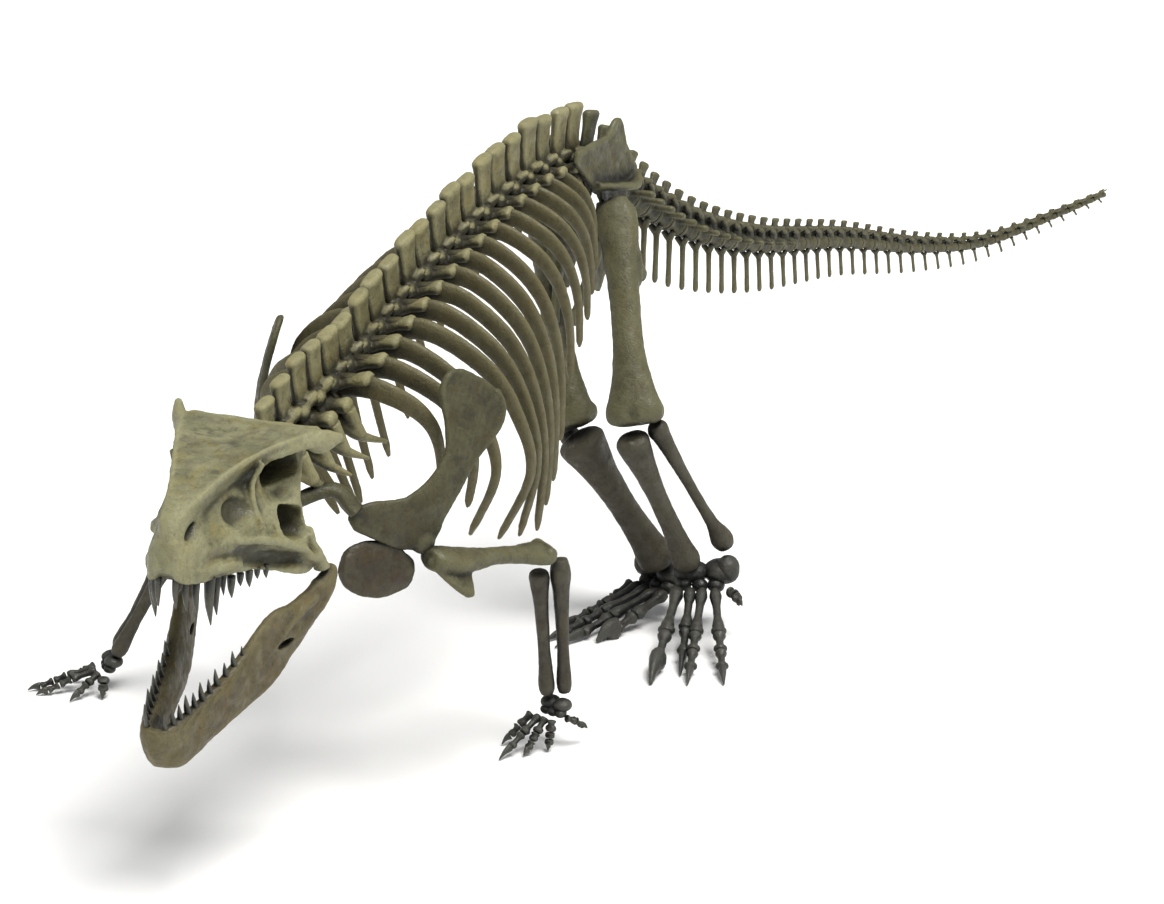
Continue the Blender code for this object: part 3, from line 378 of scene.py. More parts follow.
class Clay:
    """Closed shells that overlap, and that are fused into one smooth bone."""

    def __init__(self) -> None:
        """Start with nothing."""
        self.mesh = bmesh.new()

    def loft(self, rings: Sequence[Sequence[Vector]]) -> None:
        """Add a closed shell with flat ends.

        Args:
            rings: Cross-sections in order, all with the same number of points.
        """
        made = bmesh.ops.create_circle(self.mesh, cap_ends=True, segments=len(rings[0]), radius=1.0)
        row = sorted(made["verts"], key=lambda vert: math.atan2(vert.co.y, vert.co.x))
        edges = list({edge for vert in row for edge in vert.link_edges})
        for vert, point in zip(row, rings[0]):
            vert.co = point
        for ring in rings[1:]:
            grown = bmesh.ops.extrude_edge_only(self.mesh, edges=edges)
            fresh = {item for item in grown["geom"] if isinstance(item, bmesh.types.BMVert)}
            row = [next(edge.other_vert(vert) for edge in vert.link_edges if edge.other_vert(vert) in fresh)
                   for vert in row]
            for vert, point in zip(row, ring):
                vert.co = point
            edges = [item for item in grown["geom"] if isinstance(item, bmesh.types.BMEdge)
                     and item.verts[0] in fresh and item.verts[1] in fresh]
        bmesh.ops.edgeloop_fill(self.mesh, edges=edges)

    def tube(self, points: Sequence[Vector], sideways: Vector, sizes: Sequence[tuple[float, float]],
             count: int = 12) -> None:
        """Add a bar with an oval section along a path.

        Args:
            points: Middle of the bar.
            sideways: Direction that the first of each pair of sizes is measured in.
            sizes: (half width sideways, half width the other way) at each point.
            count: Facets round the bar.
        """
        rings = []
        for place, (wide, tall) in zip(places_along(points, sideways), sizes):
            rings.append(oval(place.point, place.side, place.up, wide, tall, count))
        self.loft(rings)

    def rod(self, points: Sequence[Vector], radii: Sequence[float], count: int = 10) -> None:
        """Add a round bar along a path.

        Args:
            points: Middle of the bar.
            radii: Radius at each point.
            count: Facets round the bar.
        """
        lean = (points[-1] - points[0]).normalized()
        sideways = UP if abs(lean.z) < STEEP else RIGHTWARD
        self.tube(points, sideways, [(radius, radius) for radius in radii], count)

    def pebble(self, centre: Vector, axes: Sequence[Vector], radii: Sequence[float]) -> None:
        """Add an egg-shaped lump.

        Args:
            centre: Middle of the lump.
            axes: Its three directions.
            radii: Its radius along each of them.
        """
        made = bmesh.ops.create_icosphere(self.mesh, subdivisions=3, radius=1.0)
        turn = Matrix(axes).transposed().to_4x4()
        size = Matrix.Diagonal(Vector(radii)).to_4x4()
        bmesh.ops.transform(self.mesh, matrix=Matrix.Translation(centre) @ turn @ size, verts=made["verts"])

    def ball(self, centre: Vector, radius: float) -> None:
        """Add a round lump."""
        self.pebble(centre, (RIGHTWARD, BACKWARD, UP), (radius, radius, radius))

    def slab(self, outline: Sequence[Vector], middle: Vector, thick: float) -> None:
        """Add a plate with the given outline.

        Args:
            outline: Corners of the plate's middle surface.
            middle: Direction across the plate.
            thick: Thickness of the plate.
        """
        self.loft([[point + middle * offset for point in outline] for offset in (-thick / 2, thick / 2)])

    def raw(self) -> bpy.types.Mesh:
        """Give the shells as they are, facing outwards, as one mesh."""
        bmesh.ops.recalc_face_normals(self.mesh, faces=self.mesh.faces)
        bmesh.ops.triangulate(self.mesh, faces=[face for face in self.mesh.faces if len(face.verts) > 4])
        mesh = bpy.data.meshes.new("shells")
        self.mesh.to_mesh(mesh)
        self.mesh.free()
        return mesh

    def fuse(self, voxel: float, rounds: int = 2, cuts: "Clay | None" = None, roughen: float = 0.0,
             press: Callable[[np.ndarray], np.ndarray] | None = None) -> bpy.types.Mesh:
        """Join the shells into one closed, softly rounded surface.

        Args:
            voxel: Size of the finest detail that is kept.
            rounds: How many times the surface is smoothed.
            cuts: Shells that are taken away from this one.
            roughen: Height of the bumps on the finished surface.
            press: Gives the new places of the surface's points, pressed in here and there.

        Returns:
            The new mesh.
        """
        mesh = remeshed(self.raw(), voxel)
        if press is not None:
            mesh.vertices.foreach_set("co", press(mesh_points(mesh)).ravel())
            mesh.update()
            mesh = remeshed(mesh, voxel)
        if cuts is not None:
            mesh = remeshed(cut_away(mesh, cuts.raw()), voxel)
        work = bmesh.new()
        work.from_mesh(mesh)
        for _ in range(rounds):
            bmesh.ops.smooth_vert(work, verts=work.verts, factor=0.5, use_axis_x=True, use_axis_y=True,
                                  use_axis_z=True)
        work.to_mesh(mesh)
        work.free()
        points = mesh_points(mesh)
        lift = sum(share * ripple(points, cell, seed) for share, cell, seed in BUMPS) * roughen
        points += mesh_normals(mesh) * lift[:, None]
        mesh.vertices.foreach_set("co", points.ravel())
        mesh.update()
        return thinned(mesh)


def evaluated(holder: bpy.types.Object) -> bpy.types.Mesh:
    """Apply an object's modifiers and remove the object.

    Args:
        holder: The object.

    Returns:
        The mesh that its modifiers make.
    """
    graph = bpy.context.evaluated_depsgraph_get()
    result = bpy.data.meshes.new_from_object(holder.evaluated_get(graph))
    old = holder.data
    bpy.data.objects.remove(holder, do_unlink=True)
    bpy.data.meshes.remove(old)
    return result


def scratch_object(mesh: bpy.types.Mesh) -> bpy.types.Object:
    """Put a mesh in the scene for a moment."""
    holder = bpy.data.objects.new("scratch", mesh)
    bpy.context.scene.collection.objects.link(holder)
    return holder


def remeshed(mesh: bpy.types.Mesh, voxel: float) -> bpy.types.Mesh:
    """Fuse overlapping shells into one skin.

    Args:
        mesh: The shells.
        voxel: Size of the skin's small even faces.

    Returns:
        The skin.
    """
    holder = scratch_object(mesh)
    change = holder.modifiers.new("fuse", "REMESH")
    change.mode = "VOXEL"
    change.voxel_size = voxel
    return evaluated(holder)


def thinned(mesh: bpy.types.Mesh) -> bpy.types.Mesh:
    """Collapse the faces that matter least, down to the share that is kept."""
    holder = scratch_object(mesh)
    change = holder.modifiers.new("thin", "DECIMATE")
    change.ratio = KEPT_FACES
    return evaluated(holder)


def cut_away(mesh: bpy.types.Mesh, cutter: bpy.types.Mesh) -> bpy.types.Mesh:
    """Take the cutter's space out of a mesh.

    Args:
        mesh: Closed mesh that is cut.
        cutter: Closed mesh of the space; it is used up.

    Returns:
        The mesh that is left.
    """
    holder = scratch_object(mesh)
    tool = scratch_object(cutter)
    change = holder.modifiers.new("cut", "BOOLEAN")
    change.operation = "DIFFERENCE"
    change.solver = "EXACT"
    change.use_self = True
    change.object = tool
    result = evaluated(holder)
    bpy.data.objects.remove(tool, do_unlink=True)
    bpy.data.meshes.remove(cutter)
    return result


# ---------------------------------------------------------------- finishes
def node_group(name: str, inputs: Sequence[tuple[str, float]], outputs: Sequence[str]) -> bpy.types.NodeTree:
    """Start a shader node group with number sockets.

    Args:
        name: Name of the group.
        inputs: (name, starting value) of each input.
        outputs: Names of the outputs.

    Returns:
        The group, with its input and output nodes placed.
    """
    group = bpy.data.node_groups.new(name, "ShaderNodeTree")
    for label, value in inputs:
        socket = group.interface.new_socket(name=label, in_out="INPUT", socket_type="NodeSocketFloat")
        socket.default_value = value
    for label in outputs:
        group.interface.new_socket(name=label, in_out="OUTPUT", socket_type="NodeSocketFloat")
    group.nodes.new("NodeGroupInput").name = "in"
    group.nodes.new("NodeGroupOutput").name = "out"
    return group


def ramp(tree: bpy.types.NodeTree, value: bpy.types.NodeSocket,
         limits: Sequence[float | bpy.types.NodeSocket], reach: tuple[float, float] = (0.0, 1.0),
         smooth: bool = False) -> bpy.types.NodeSocket:
    """Add a node that spreads a value between two limits over a new range.

    Args:
        tree: Node tree that the node goes into.
        value: The value.
        limits: Where the ramp starts and ends, as numbers or as sockets.
        reach: The new range.
        smooth: Whether the ramp starts and ends softly.

    Returns:
        The socket with the result.
    """
    node = tree.nodes.new("ShaderNodeMapRange")
    if smooth:
        node.interpolation_type = "SMOOTHSTEP"
    tree.links.new(value, node.inputs["Value"])
    for label, limit in zip(("From Min", "From Max"), limits):
        if isinstance(limit, float):
            node.inputs[label].default_value = limit
        else:
            tree.links.new(limit, node.inputs[label])
    node.inputs["To Min"].default_value, node.inputs["To Max"].default_value = reach
    return node.outputs["Result"]


def added(tree: bpy.types.NodeTree, first: bpy.types.NodeSocket,
          second: bpy.types.NodeSocket) -> bpy.types.NodeSocket:
    """Add a node that adds two values."""
    node = tree.nodes.new("ShaderNodeMath")
    tree.links.new(first, node.inputs[0])
    tree.links.new(second, node.inputs[1])
    return node.outputs["Value"]


def patch_group() -> bpy.types.NodeTree:
    """Cloudy patches over the bone, from the piece's own coordinates."""
    group = node_group("bone_patches", [("Scale", 20.0), ("From", 0.45), ("To", 0.62), ("Warp", 0.6)],
                       ["Mask"])
    nodes, links = group.nodes, group.links
    given = nodes["in"].outputs
    cloud = nodes.new("ShaderNodeTexNoise")
    cloud.inputs["Detail"].default_value = 6.0
    cloud.inputs["Roughness"].default_value = 0.62
    links.new(nodes.new("ShaderNodeTexCoord").outputs["Object"], cloud.inputs["Vector"])
    links.new(given["Scale"], cloud.inputs["Scale"])
    links.new(given["Warp"], cloud.inputs["Distortion"])
    mask = ramp(group, cloud.outputs["Fac"], (given["From"], given["To"]), smooth=True)
    links.new(mask, nodes["out"].inputs["Mask"])
    return group


def stored_group(name: str, attribute: str, masks: Sequence[tuple[str, float, float]],
                 smooth: bool) -> bpy.types.NodeTree:
    """Build a group whose masks come from a value that is stored on the mesh.

    Args:
        name: Name of the group.
        attribute: Name of the stored value.
        masks: (name, value where it starts, value where it is full) of each mask.
        smooth: Whether the masks start and end softly.

    Returns:
        The group.
    """
    limits = [(mask + edge, value) for mask, *values in masks
              for edge, value in zip((" start", " full"), values)]
    group = node_group(name, limits, [mask for mask, _, _ in masks])
    nodes = group.nodes
    stored = nodes.new("ShaderNodeAttribute")
    stored.attribute_name = attribute
    for mask, _, _ in masks:
        ends = (nodes["in"].outputs[mask + " start"], nodes["in"].outputs[mask + " full"])
        group.links.new(ramp(group, stored.outputs["Fac"], ends, smooth=smooth), nodes["out"].inputs[mask])
    return group


def grain_group() -> bpy.types.NodeTree:
    """Fine pits, cracks and plaster grain, as a height and a speckle."""
    group = node_group("bone_grain", [("Grain scale", 420.0), ("Pit scale", 190.0), ("Crack scale", 46.0)],
                       ["Height", "Speckle"])
    nodes, links = group.nodes, group.links
    place = nodes.new("ShaderNodeTexCoord")
    grain = nodes.new("ShaderNodeTexNoise")
    grain.inputs["Detail"].default_value = 4.0
    pits = nodes.new("ShaderNodeTexVoronoi")
    cracks = nodes.new("ShaderNodeTexVoronoi")
    cracks.feature = "DISTANCE_TO_EDGE"
    for texture, scale in ((grain, "Grain scale"), (pits, "Pit scale"), (cracks, "Crack scale")):
        links.new(place.outputs["Object"], texture.inputs["Vector"])
        links.new(nodes["in"].outputs[scale], texture.inputs["Scale"])
    crack_depth = ramp(group, cracks.outputs["Distance"], (0.0, 0.035), (-0.30, 0.0))
    pit_depth = ramp(group, pits.outputs["Distance"], (0.0, 0.45), (-0.35, 0.0))
    height = added(group, added(group, pit_depth, crack_depth), grain.outputs["Fac"])
    links.new(height, nodes["out"].inputs["Height"])
    links.new(grain.outputs["Fac"], nodes["out"].inputs["Speckle"])
    return group


class Groups:
    """The node groups that all finishes share, built once."""

    def __init__(self) -> None:
        """Build the groups."""
        self.patches = patch_group()
        # Edge marks rubbed, paler edges of the cast itself; Hollow marks hollows that are painted darker as
        # shade.
        self.wear_and_shade = stored_group("bone_wear_and_shade", "relief", [("Edge", 0.54, 0.72), ("Hollow shade", 0.48, 0.26)], True)
        self.grain = grain_group()
        # Painted shade: crevices, where much bone stands close over the surface, are painted darker.
        self.crevice_shading = stored_group("bone_crevice_shade", "crevice_shade", [("Mask", 0.15, 0.62)], False)


@dataclass(frozen=True)
class BoneFinish:
    """Cast bone with cloudy stains and pale rubbed edges, with painted shade in its hollows and crevices."""

    name: str
    slot: str
    light: Colour
    body: Colour
    dark: Colour
    ochre: Colour
    plum: Colour
    rough: float = 0.58
    edge_share: float = 0.55
    # Share of the dark colour that is painted into hollows as shade.
    hollow_shade_share: float = 0.85
    # Share of the darkest colour that is painted into crevices as shade.
    crevice_shade_share: float = 0.90
    plum_share: float = 0.60
    speckle_share: float = 0.30
    patch_scale: float = 19.0

    def material(self, groups: Groups) -> bpy.types.Material:
        """Give the finish as a material, built the first time it is asked for.

        Args:
            groups: The shared node groups.

        Returns:
            The material.
        """
        known = bpy.data.materials.get(self.name)
        if known is not None:
            return known
        made = bpy.data.materials.new(self.name)
        made.use_nodes = True
        self.wire(made.node_tree, groups)
        return made

    @property
    def crevice_shade_colour(self) -> Colour:
        """The dark colour, darker still, that is painted into crevices as shade."""
        return self.dark[0] * 0.45, self.dark[1] * 0.45, self.dark[2] * 0.45

    @property
    def stains(self) -> tuple[tuple[Colour, float, float, float, float], ...]:
        """Each cloudy stain's colour, fineness, noise values where it starts and is full, and share."""
        return ((self.light, 1.0, 0.42, 0.62, 0.70), (self.ochre, 1.9, 0.49, 0.62, 0.80),
                (self.plum, 2.7, 0.51, 0.65, self.plum_share), (self.dark, 5.5, 0.52, 0.70, 0.55))

    def shared(self, tree: bpy.types.NodeTree, group: bpy.types.NodeTree) -> bpy.types.Node:
        """Add a shared group to the material's nodes."""
        node = tree.nodes.new("ShaderNodeGroup")
        node.node_tree = group
        return node

    def patch(self, tree: bpy.types.NodeTree, groups: Groups, scale: float, low: float,
              high: float) -> bpy.types.NodeSocket:
        """Add cloudy patches of one size.

        Args:
            tree: Node tree of the material.
            groups: The shared node groups.
            scale: How fine the patches are.
            low: Noise value where a patch starts.
            high: Noise value where it is full.

        Returns:
            The mask of the patches.
        """
        cloud = self.shared(tree, groups.patches)
        cloud.inputs["Scale"].default_value = scale
        cloud.inputs["From"].default_value = low
        cloud.inputs["To"].default_value = high
        return cloud.outputs["Mask"]

    def tint(self, tree: bpy.types.NodeTree, under: bpy.types.NodeSocket, colour: Colour,
             mask: bpy.types.NodeSocket, amount: float) -> bpy.types.NodeSocket:
        """Lay a colour over another where the mask says.

        Args:
            tree: Node tree of the material.
            under: Colour so far.
            colour: Colour to lay on.
            mask: Where to lay it, from 0 to 1.
            amount: Most that covers the colour under it.

        Returns:
            The mixed colour.
        """
        share = tree.nodes.new("ShaderNodeMath")
        share.operation = "MULTIPLY"
        share.inputs[1].default_value = amount
        tree.links.new(mask, share.inputs[0])
        mix = tree.nodes.new("ShaderNodeMix")
        mix.data_type = "RGBA"
        tree.links.new(share.outputs["Value"], mix.inputs["Factor"])
        tree.links.new(under, mix.inputs["A"])
        mix.inputs["B"].default_value = (*colour, 1.0)
        return mix.outputs["Result"]

    def wire(self, tree: bpy.types.NodeTree, groups: Groups) -> None:
        """Lay the colours one over another, with painted shade in hollows and crevices, and set the gloss and
        the bumps.

        Args:
            tree: Node tree of the material.
            groups: The shared node groups.
        """
        shader = tree.nodes["Principled BSDF"]
        start = tree.nodes.new("ShaderNodeRGB")
        start.outputs["Color"].default_value = (*self.body, 1.0)
        wear_and_shade = self.shared(tree, groups.wear_and_shade)
        grain = self.shared(tree, groups.grain)
        crevice_shade_node = self.shared(tree, groups.crevice_shading)
        speckle = ramp(tree, grain.outputs["Speckle"], (0.55, 0.72))
        colour = start.outputs["Color"]
        for stain, fine, low, high, share in self.stains:
            mask = self.patch(tree, groups, self.patch_scale * fine, low, high)
            colour = self.tint(tree, colour, stain, mask, share)
        # Pale rubbed edges are the cast's own rubbing; the darker hollows and the darkest crevices are
        # painted shade; the speckle is grain.
        for stain, mask, share in ((self.light, wear_and_shade.outputs["Edge"], self.edge_share),
                                   (self.dark, wear_and_shade.outputs["Hollow shade"], self.hollow_shade_share),
                                   (self.dark, speckle, self.speckle_share),
                                   (self.crevice_shade_colour, crevice_shade_node.outputs["Mask"], self.crevice_shade_share)):
            colour = self.tint(tree, colour, stain, mask, share)
        tree.links.new(colour, shader.inputs["Base Color"])
        gloss = ramp(tree, self.patch(tree, groups, self.patch_scale * 3.0, 0.35, 0.65), (0.0, 1.0),
                     (self.rough - 0.14, self.rough + 0.16))
        tree.links.new(gloss, shader.inputs["Roughness"])
        bump = tree.nodes.new("ShaderNodeBump")
        bump.inputs["Strength"].default_value = 0.55
        bump.inputs["Distance"].default_value = 0.0012
        tree.links.new(grain.outputs["Height"], bump.inputs["Height"])
        tree.links.new(bump.outputs["Normal"], shader.inputs["Normal"])
        shader.inputs["Specular IOR Level"].default_value = 0.42


# Part by part these finishes differ in brightness, partly by the parts' own tones and partly as painted light
# and shade: parts that lie in shade have darker colours, and the skull, lit from above, a paler one.
SKULL_BONE = BoneFinish("skull_bone", "bone_skull", (0.268, 0.259, 0.144), (0.167, 0.163, 0.084),
                        (0.036, 0.034, 0.016), (0.201, 0.169, 0.060), (0.134, 0.119, 0.078))
JAW_BONE = BoneFinish("jaw_bone", "bone_jaw", (0.142, 0.124, 0.058), (0.086, 0.070, 0.028),
                      (0.022, 0.018, 0.009), (0.117, 0.083, 0.023), (0.074, 0.054, 0.030))
SPINE_BONE = BoneFinish("spine_bone", "bone_axial", (0.273, 0.255, 0.130), (0.161, 0.147, 0.065),
                        (0.035, 0.032, 0.014), (0.204, 0.159, 0.050), (0.121, 0.102, 0.062))
RIB_BONE = BoneFinish("rib_bone", "bone_axial", (0.128, 0.115, 0.052), (0.073, 0.062, 0.024),
                      (0.019, 0.017, 0.007), (0.095, 0.067, 0.019), (0.057, 0.044, 0.023))
TAIL_BONE = BoneFinish("tail_bone", "bone_axial", (0.105, 0.099, 0.046), (0.060, 0.056, 0.024),
                       (0.015, 0.015, 0.007), (0.075, 0.059, 0.019), (0.048, 0.040, 0.023))
HIP_BONE = BoneFinish("hip_bone", "bone_limb", (0.114, 0.112, 0.053), (0.065, 0.062, 0.027),
                      (0.017, 0.016, 0.007), (0.083, 0.067, 0.020), (0.052, 0.043, 0.025))
GIRDLE_BONE = BoneFinish("girdle_bone", "bone_limb", (0.079, 0.076, 0.034), (0.047, 0.043, 0.017),
                         (0.013, 0.013, 0.005), (0.053, 0.041, 0.013), (0.034, 0.026, 0.014))
LIMB_BONE = BoneFinish("limb_bone", "bone_limb", (0.114, 0.109, 0.054), (0.069, 0.065, 0.029),
                       (0.017, 0.016, 0.008), (0.081, 0.065, 0.022), (0.057, 0.047, 0.026))
SHIN_BONE = BoneFinish("shin_bone", "bone_limb", (0.063, 0.057, 0.036), (0.035, 0.030, 0.018),
                       (0.010, 0.009, 0.006), (0.043, 0.032, 0.015), (0.029, 0.022, 0.016))
FOOT_BONE = BoneFinish("foot_bone", "bone_limb", (0.053, 0.053, 0.044), (0.029, 0.029, 0.023),
                       (0.008, 0.008, 0.007), (0.035, 0.030, 0.018), (0.025, 0.021, 0.019), rough=0.52)
TOOTH = BoneFinish("tooth_enamel", "bone_skull", (0.081, 0.081, 0.062), (0.038, 0.037, 0.027),
                   (0.011, 0.011, 0.009), (0.051, 0.043, 0.024), (0.030, 0.026, 0.023), rough=0.40,
                   patch_scale=60.0)
CORACOID_BONE = BoneFinish("coracoid_bone", "bone_limb", (0.060, 0.052, 0.028), (0.034, 0.028, 0.014),
                           (0.010, 0.009, 0.005), (0.046, 0.029, 0.009), (0.030, 0.017, 0.012),
                           plum_share=0.85)


# ---------------------------------------------------------------- finished pieces
class Workshop:
    """Turns bones into finished pieces of the model."""

    def __init__(self, box: list[list[float]]) -> None:
        """Keep the frame's box, which no piece may leave, and the shared node groups."""
        self.box = box
        self.groups = Groups()
        self.faces = 0
        self.made: list[bpy.types.Object] = []

    def piece(self, name: str, bones: Sequence[bpy.types.Mesh], finish: BoneFinish, nodes: Sequence[str],
              relief_rounds: int = 10, relief_depth: float = 0.0016) -> None:
        """Join bones into one piece, keep it inside the frame's box and give it its finish.

        Args:
            name: Name of the piece.
            bones: Meshes in the animal's own axes.
            finish: What it is made of.
            nodes: Solids of the frame that it stands for.
            relief_rounds: How wide the surroundings are that edges and hollows are told from.
            relief_depth: How far a full edge stands out from its surroundings.
        """
        joined = bmesh.new()
        for bone in bones:
            joined.from_mesh(bone)
            bpy.data.meshes.remove(bone)
        bmesh.ops.transform(joined, matrix=Matrix.Translation(MODEL_SHIFT), verts=joined.verts)
        for vert in joined.verts:
            vert.co = [min(max(vert.co[i], self.box[0][i]), self.box[1][i]) for i in range(3)]
        for face in joined.faces:
            face.smooth = True
        mesh = bpy.data.meshes.new(name)
        joined.to_mesh(mesh)
        joined.free()
        self.mark_relief(mesh, relief_rounds, relief_depth)
        made = bpy.data.objects.new(name, mesh)
        bpy.context.scene.collection.objects.link(made)
        mesh.materials.append(finish.material(self.groups))
        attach(made, BODY)
        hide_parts(*nodes)
        self.made.append(made)
        mesh.calc_loop_triangles()
        self.faces += len(mesh.loop_triangles)
        LOG.info("%s: %d triangles", name, len(mesh.loop_triangles))

    def sided(self, name: str, node: str, side: Side, bones: Sequence[bpy.types.Mesh], finish: BoneFinish,
              relief_rounds: int = 10, relief_depth: float = 0.0016) -> None:
        """Finish a piece that is named for its side, as its solid is; name and node come without the side."""
        self.piece(name + "_" + side.value, bones, finish, [node + "_" + side.value], relief_rounds,
                   relief_depth)

    def mark_crevice_shade(self, cell: float = 0.004, reach: float = 0.011, full: float = 6.5e-6,
                      margin: float = 0.03) -> None:
        """Store how much bone stands close over each vertex, from 0 in the open to 1 in a crevice, for
        painted shade.

        Args:
            cell: Size of the boxes in which the surface is counted.
            reach: How far over the surface the count is read.
            full: Area of surface in one box, after spreading, that counts as a crevice.
            margin: Room left round the model.
        """
        centres, areas = [], []
        for made in self.made:
            faces = made.data.polygons
            spot, area = np.empty(len(faces) * 3), np.empty(len(faces))
            faces.foreach_get("center", spot)
            faces.foreach_get("area", area)
            centres.append(spot.reshape(-1, 3))
            areas.append(area)
        spots = np.concatenate(centres)
        low = spots.min(axis=0) - margin
        shape = np.ceil((spots.max(axis=0) + margin - low) / cell).astype(int)
        index = np.ravel_multi_index(tuple(((spots - low) / cell).astype(int).T), shape)
        counted = np.bincount(index, np.concatenate(areas), int(np.prod(shape)))
        grid = counted.reshape(shape).astype(np.float32)
        for _ in range(2):
            for axis in range(3):
                grid = spread(grid, axis, 2)
        for made in self.made:
            points = mesh_points(made.data) + mesh_normals(made.data) * reach
            place = ((points - low) / cell).astype(int).clip(0, shape - 1)
            value = grid[place[:, 0], place[:, 1], place[:, 2]] / full
            # Stored for the painted shade in crevices.
            marked = made.data.attributes.new("crevice_shade", "FLOAT", "POINT")
            marked.data.foreach_set("value", np.clip(value, 0.0, 1.0).astype(np.float32))

    def mark_relief(self, mesh: bpy.types.Mesh, rounds: int, depth: float) -> None:
        """Store how far each vertex stands out from its surroundings, 0.5 being level.

        Args:
            mesh: The mesh.
            rounds: How wide the surroundings are.
            depth: How far a full edge stands out.
        """
        edges = np.empty(len(mesh.edges) * 2, dtype=np.int64)
        mesh.edges.foreach_get("vertices", edges)
        points = mesh_points(mesh)
        even = neighbour_mean(points, edges.reshape(-1, 2), rounds)
        stand = np.einsum("ij,ij->i", points - even, mesh_normals(mesh))
        level = neighbour_mean(stand[:, None], edges.reshape(-1, 2), 2)[:, 0]
        marked = mesh.attributes.new("relief", "FLOAT", "POINT")
        marked.data.foreach_set("value", np.clip(0.5 + 0.5 * level / depth, 0.0, 1.0))


# ---------------------------------------------------------------- vertebrae
@dataclass(frozen=True)
class Vertebra:
    """One vertebra between two joints of the back bone."""

    start: Place
    end: Place
    radius: float
    spine_height: float
    spine_length: float
    spine_thick: float
    spine_lean: float
    waist: float = 0.74
    facet: float = 0.0050
    wing_reach: float = 0.0
    wing_rise: float = 0.0
    wing_back: float = 0.0
    wing_thick: float = 0.0
    wing_broad: float = 0.0
    joint_gap: float = 0.0007

    @property
    def length(self) -> float:
        """Distance between the joints."""
        return (self.end.point - self.start.point).length

    def body(self, clay: Clay) -> None:
        """Add the spool-shaped body with its two rims."""
        gap = self.joint_gap / self.length
        rings = []
        for share, size in ((gap, 0.80), (gap + 0.03, 0.98), (0.13, 0.99),
                            (0.30, blend(1.0, self.waist, 0.8)), (0.5, self.waist),
                            (0.70, blend(1.0, self.waist, 0.8)), (0.87, 0.99), (0.97 - gap, 0.98),
                            (1.0 - gap, 0.80)):
            centre = self.start.point.lerp(self.end.point, share)
            side = self.start.side.lerp(self.end.side, share)
            up = self.start.up.lerp(self.end.up, share)
            rings.append(oval(centre, side, up, self.radius * size, self.radius * size, 14))
        clay.loft(rings)

    def arch(self, clay: Clay) -> None:
        """Add the arch over the nerve canal and the tall spine on it."""
        place = between(self.start, self.end)
        radius, length = self.radius, self.length
        clay.tube([place.at(rise=radius * 0.4), place.at(rise=radius * 1.2), place.at(rise=radius * 1.75)],
                  place.side, [(radius * 0.66, length * 0.34), (radius * 0.56, length * 0.30),
                               (radius * 0.30, length * 0.27)])
        rows = []
        for share, thick, broad in ((0.15, 1.5, 0.42), (0.35, 1.10, 0.42), (0.6, 0.85, 0.45),
                                    (0.82, 0.95, 0.49), (0.95, 1.35, 0.51), (1.0, 0.95, 0.42)):
            centre = place.at(rise=self.spine_height * share, ahead=self.spine_lean * share)
            rows.append(oval(centre, place.side, place.along, self.spine_thick * thick,
                             self.spine_length * broad, 12, 0.75))
        clay.loft(rows)

    def facets(self, clay: Clay) -> None:
        """Add the paired joint facets that reach to the neighbours in front and behind."""
        place = between(self.start, self.end)
        front = ((0.35, 1.25, -0.10), (0.62, 1.40, -0.42), (0.70, 1.52, -0.64)), (1.0, 0.95, 0.62)
        back = ((0.30, 1.55, 0.10), (0.52, 1.72, 0.36), (0.60, 1.80, 0.56)), (1.0, 0.85, 0.6)
        for sign in BOTH_WAYS:
            for spots, sizes in (front, back):
                path = [place.at(sign * self.radius * out, self.radius * rise, self.length * ahead)
                        for out, rise, ahead in spots]
                clay.rod(path, [self.facet * size for size in sizes])

    def wings(self, clay: Clay) -> None:
        """Add the bars that stand out to the sides."""
        place = between(self.start, self.end)
        for sign in BOTH_WAYS:
            points = [place.at(sign * self.radius * 0.25, self.wing_rise * 0.6)]
            points += [place.at(sign * self.wing_reach * out, self.wing_rise * rise, self.wing_back * back)
                       for out, rise, back in ((0.55, 0.85, 0.4), (0.90, 1.0, 0.9), (1.0, 1.0, 1.0))]
            sizes = [(self.wing_broad * broad, self.wing_thick * thick)
                     for broad, thick in ((1.15, 1.3), (0.80, 1.0), (0.95, 1.25), (0.6, 0.8))]
            clay.tube(points, place.along, sizes, 10)

    def clay(self) -> Clay:
        """Give the whole vertebra, not yet fused."""
        clay = Clay()
        self.body(clay)
        self.arch(clay)
        if self.facet > 0:
            self.facets(clay)
        if self.wing_reach > 0:
            self.wings(clay)
        return clay


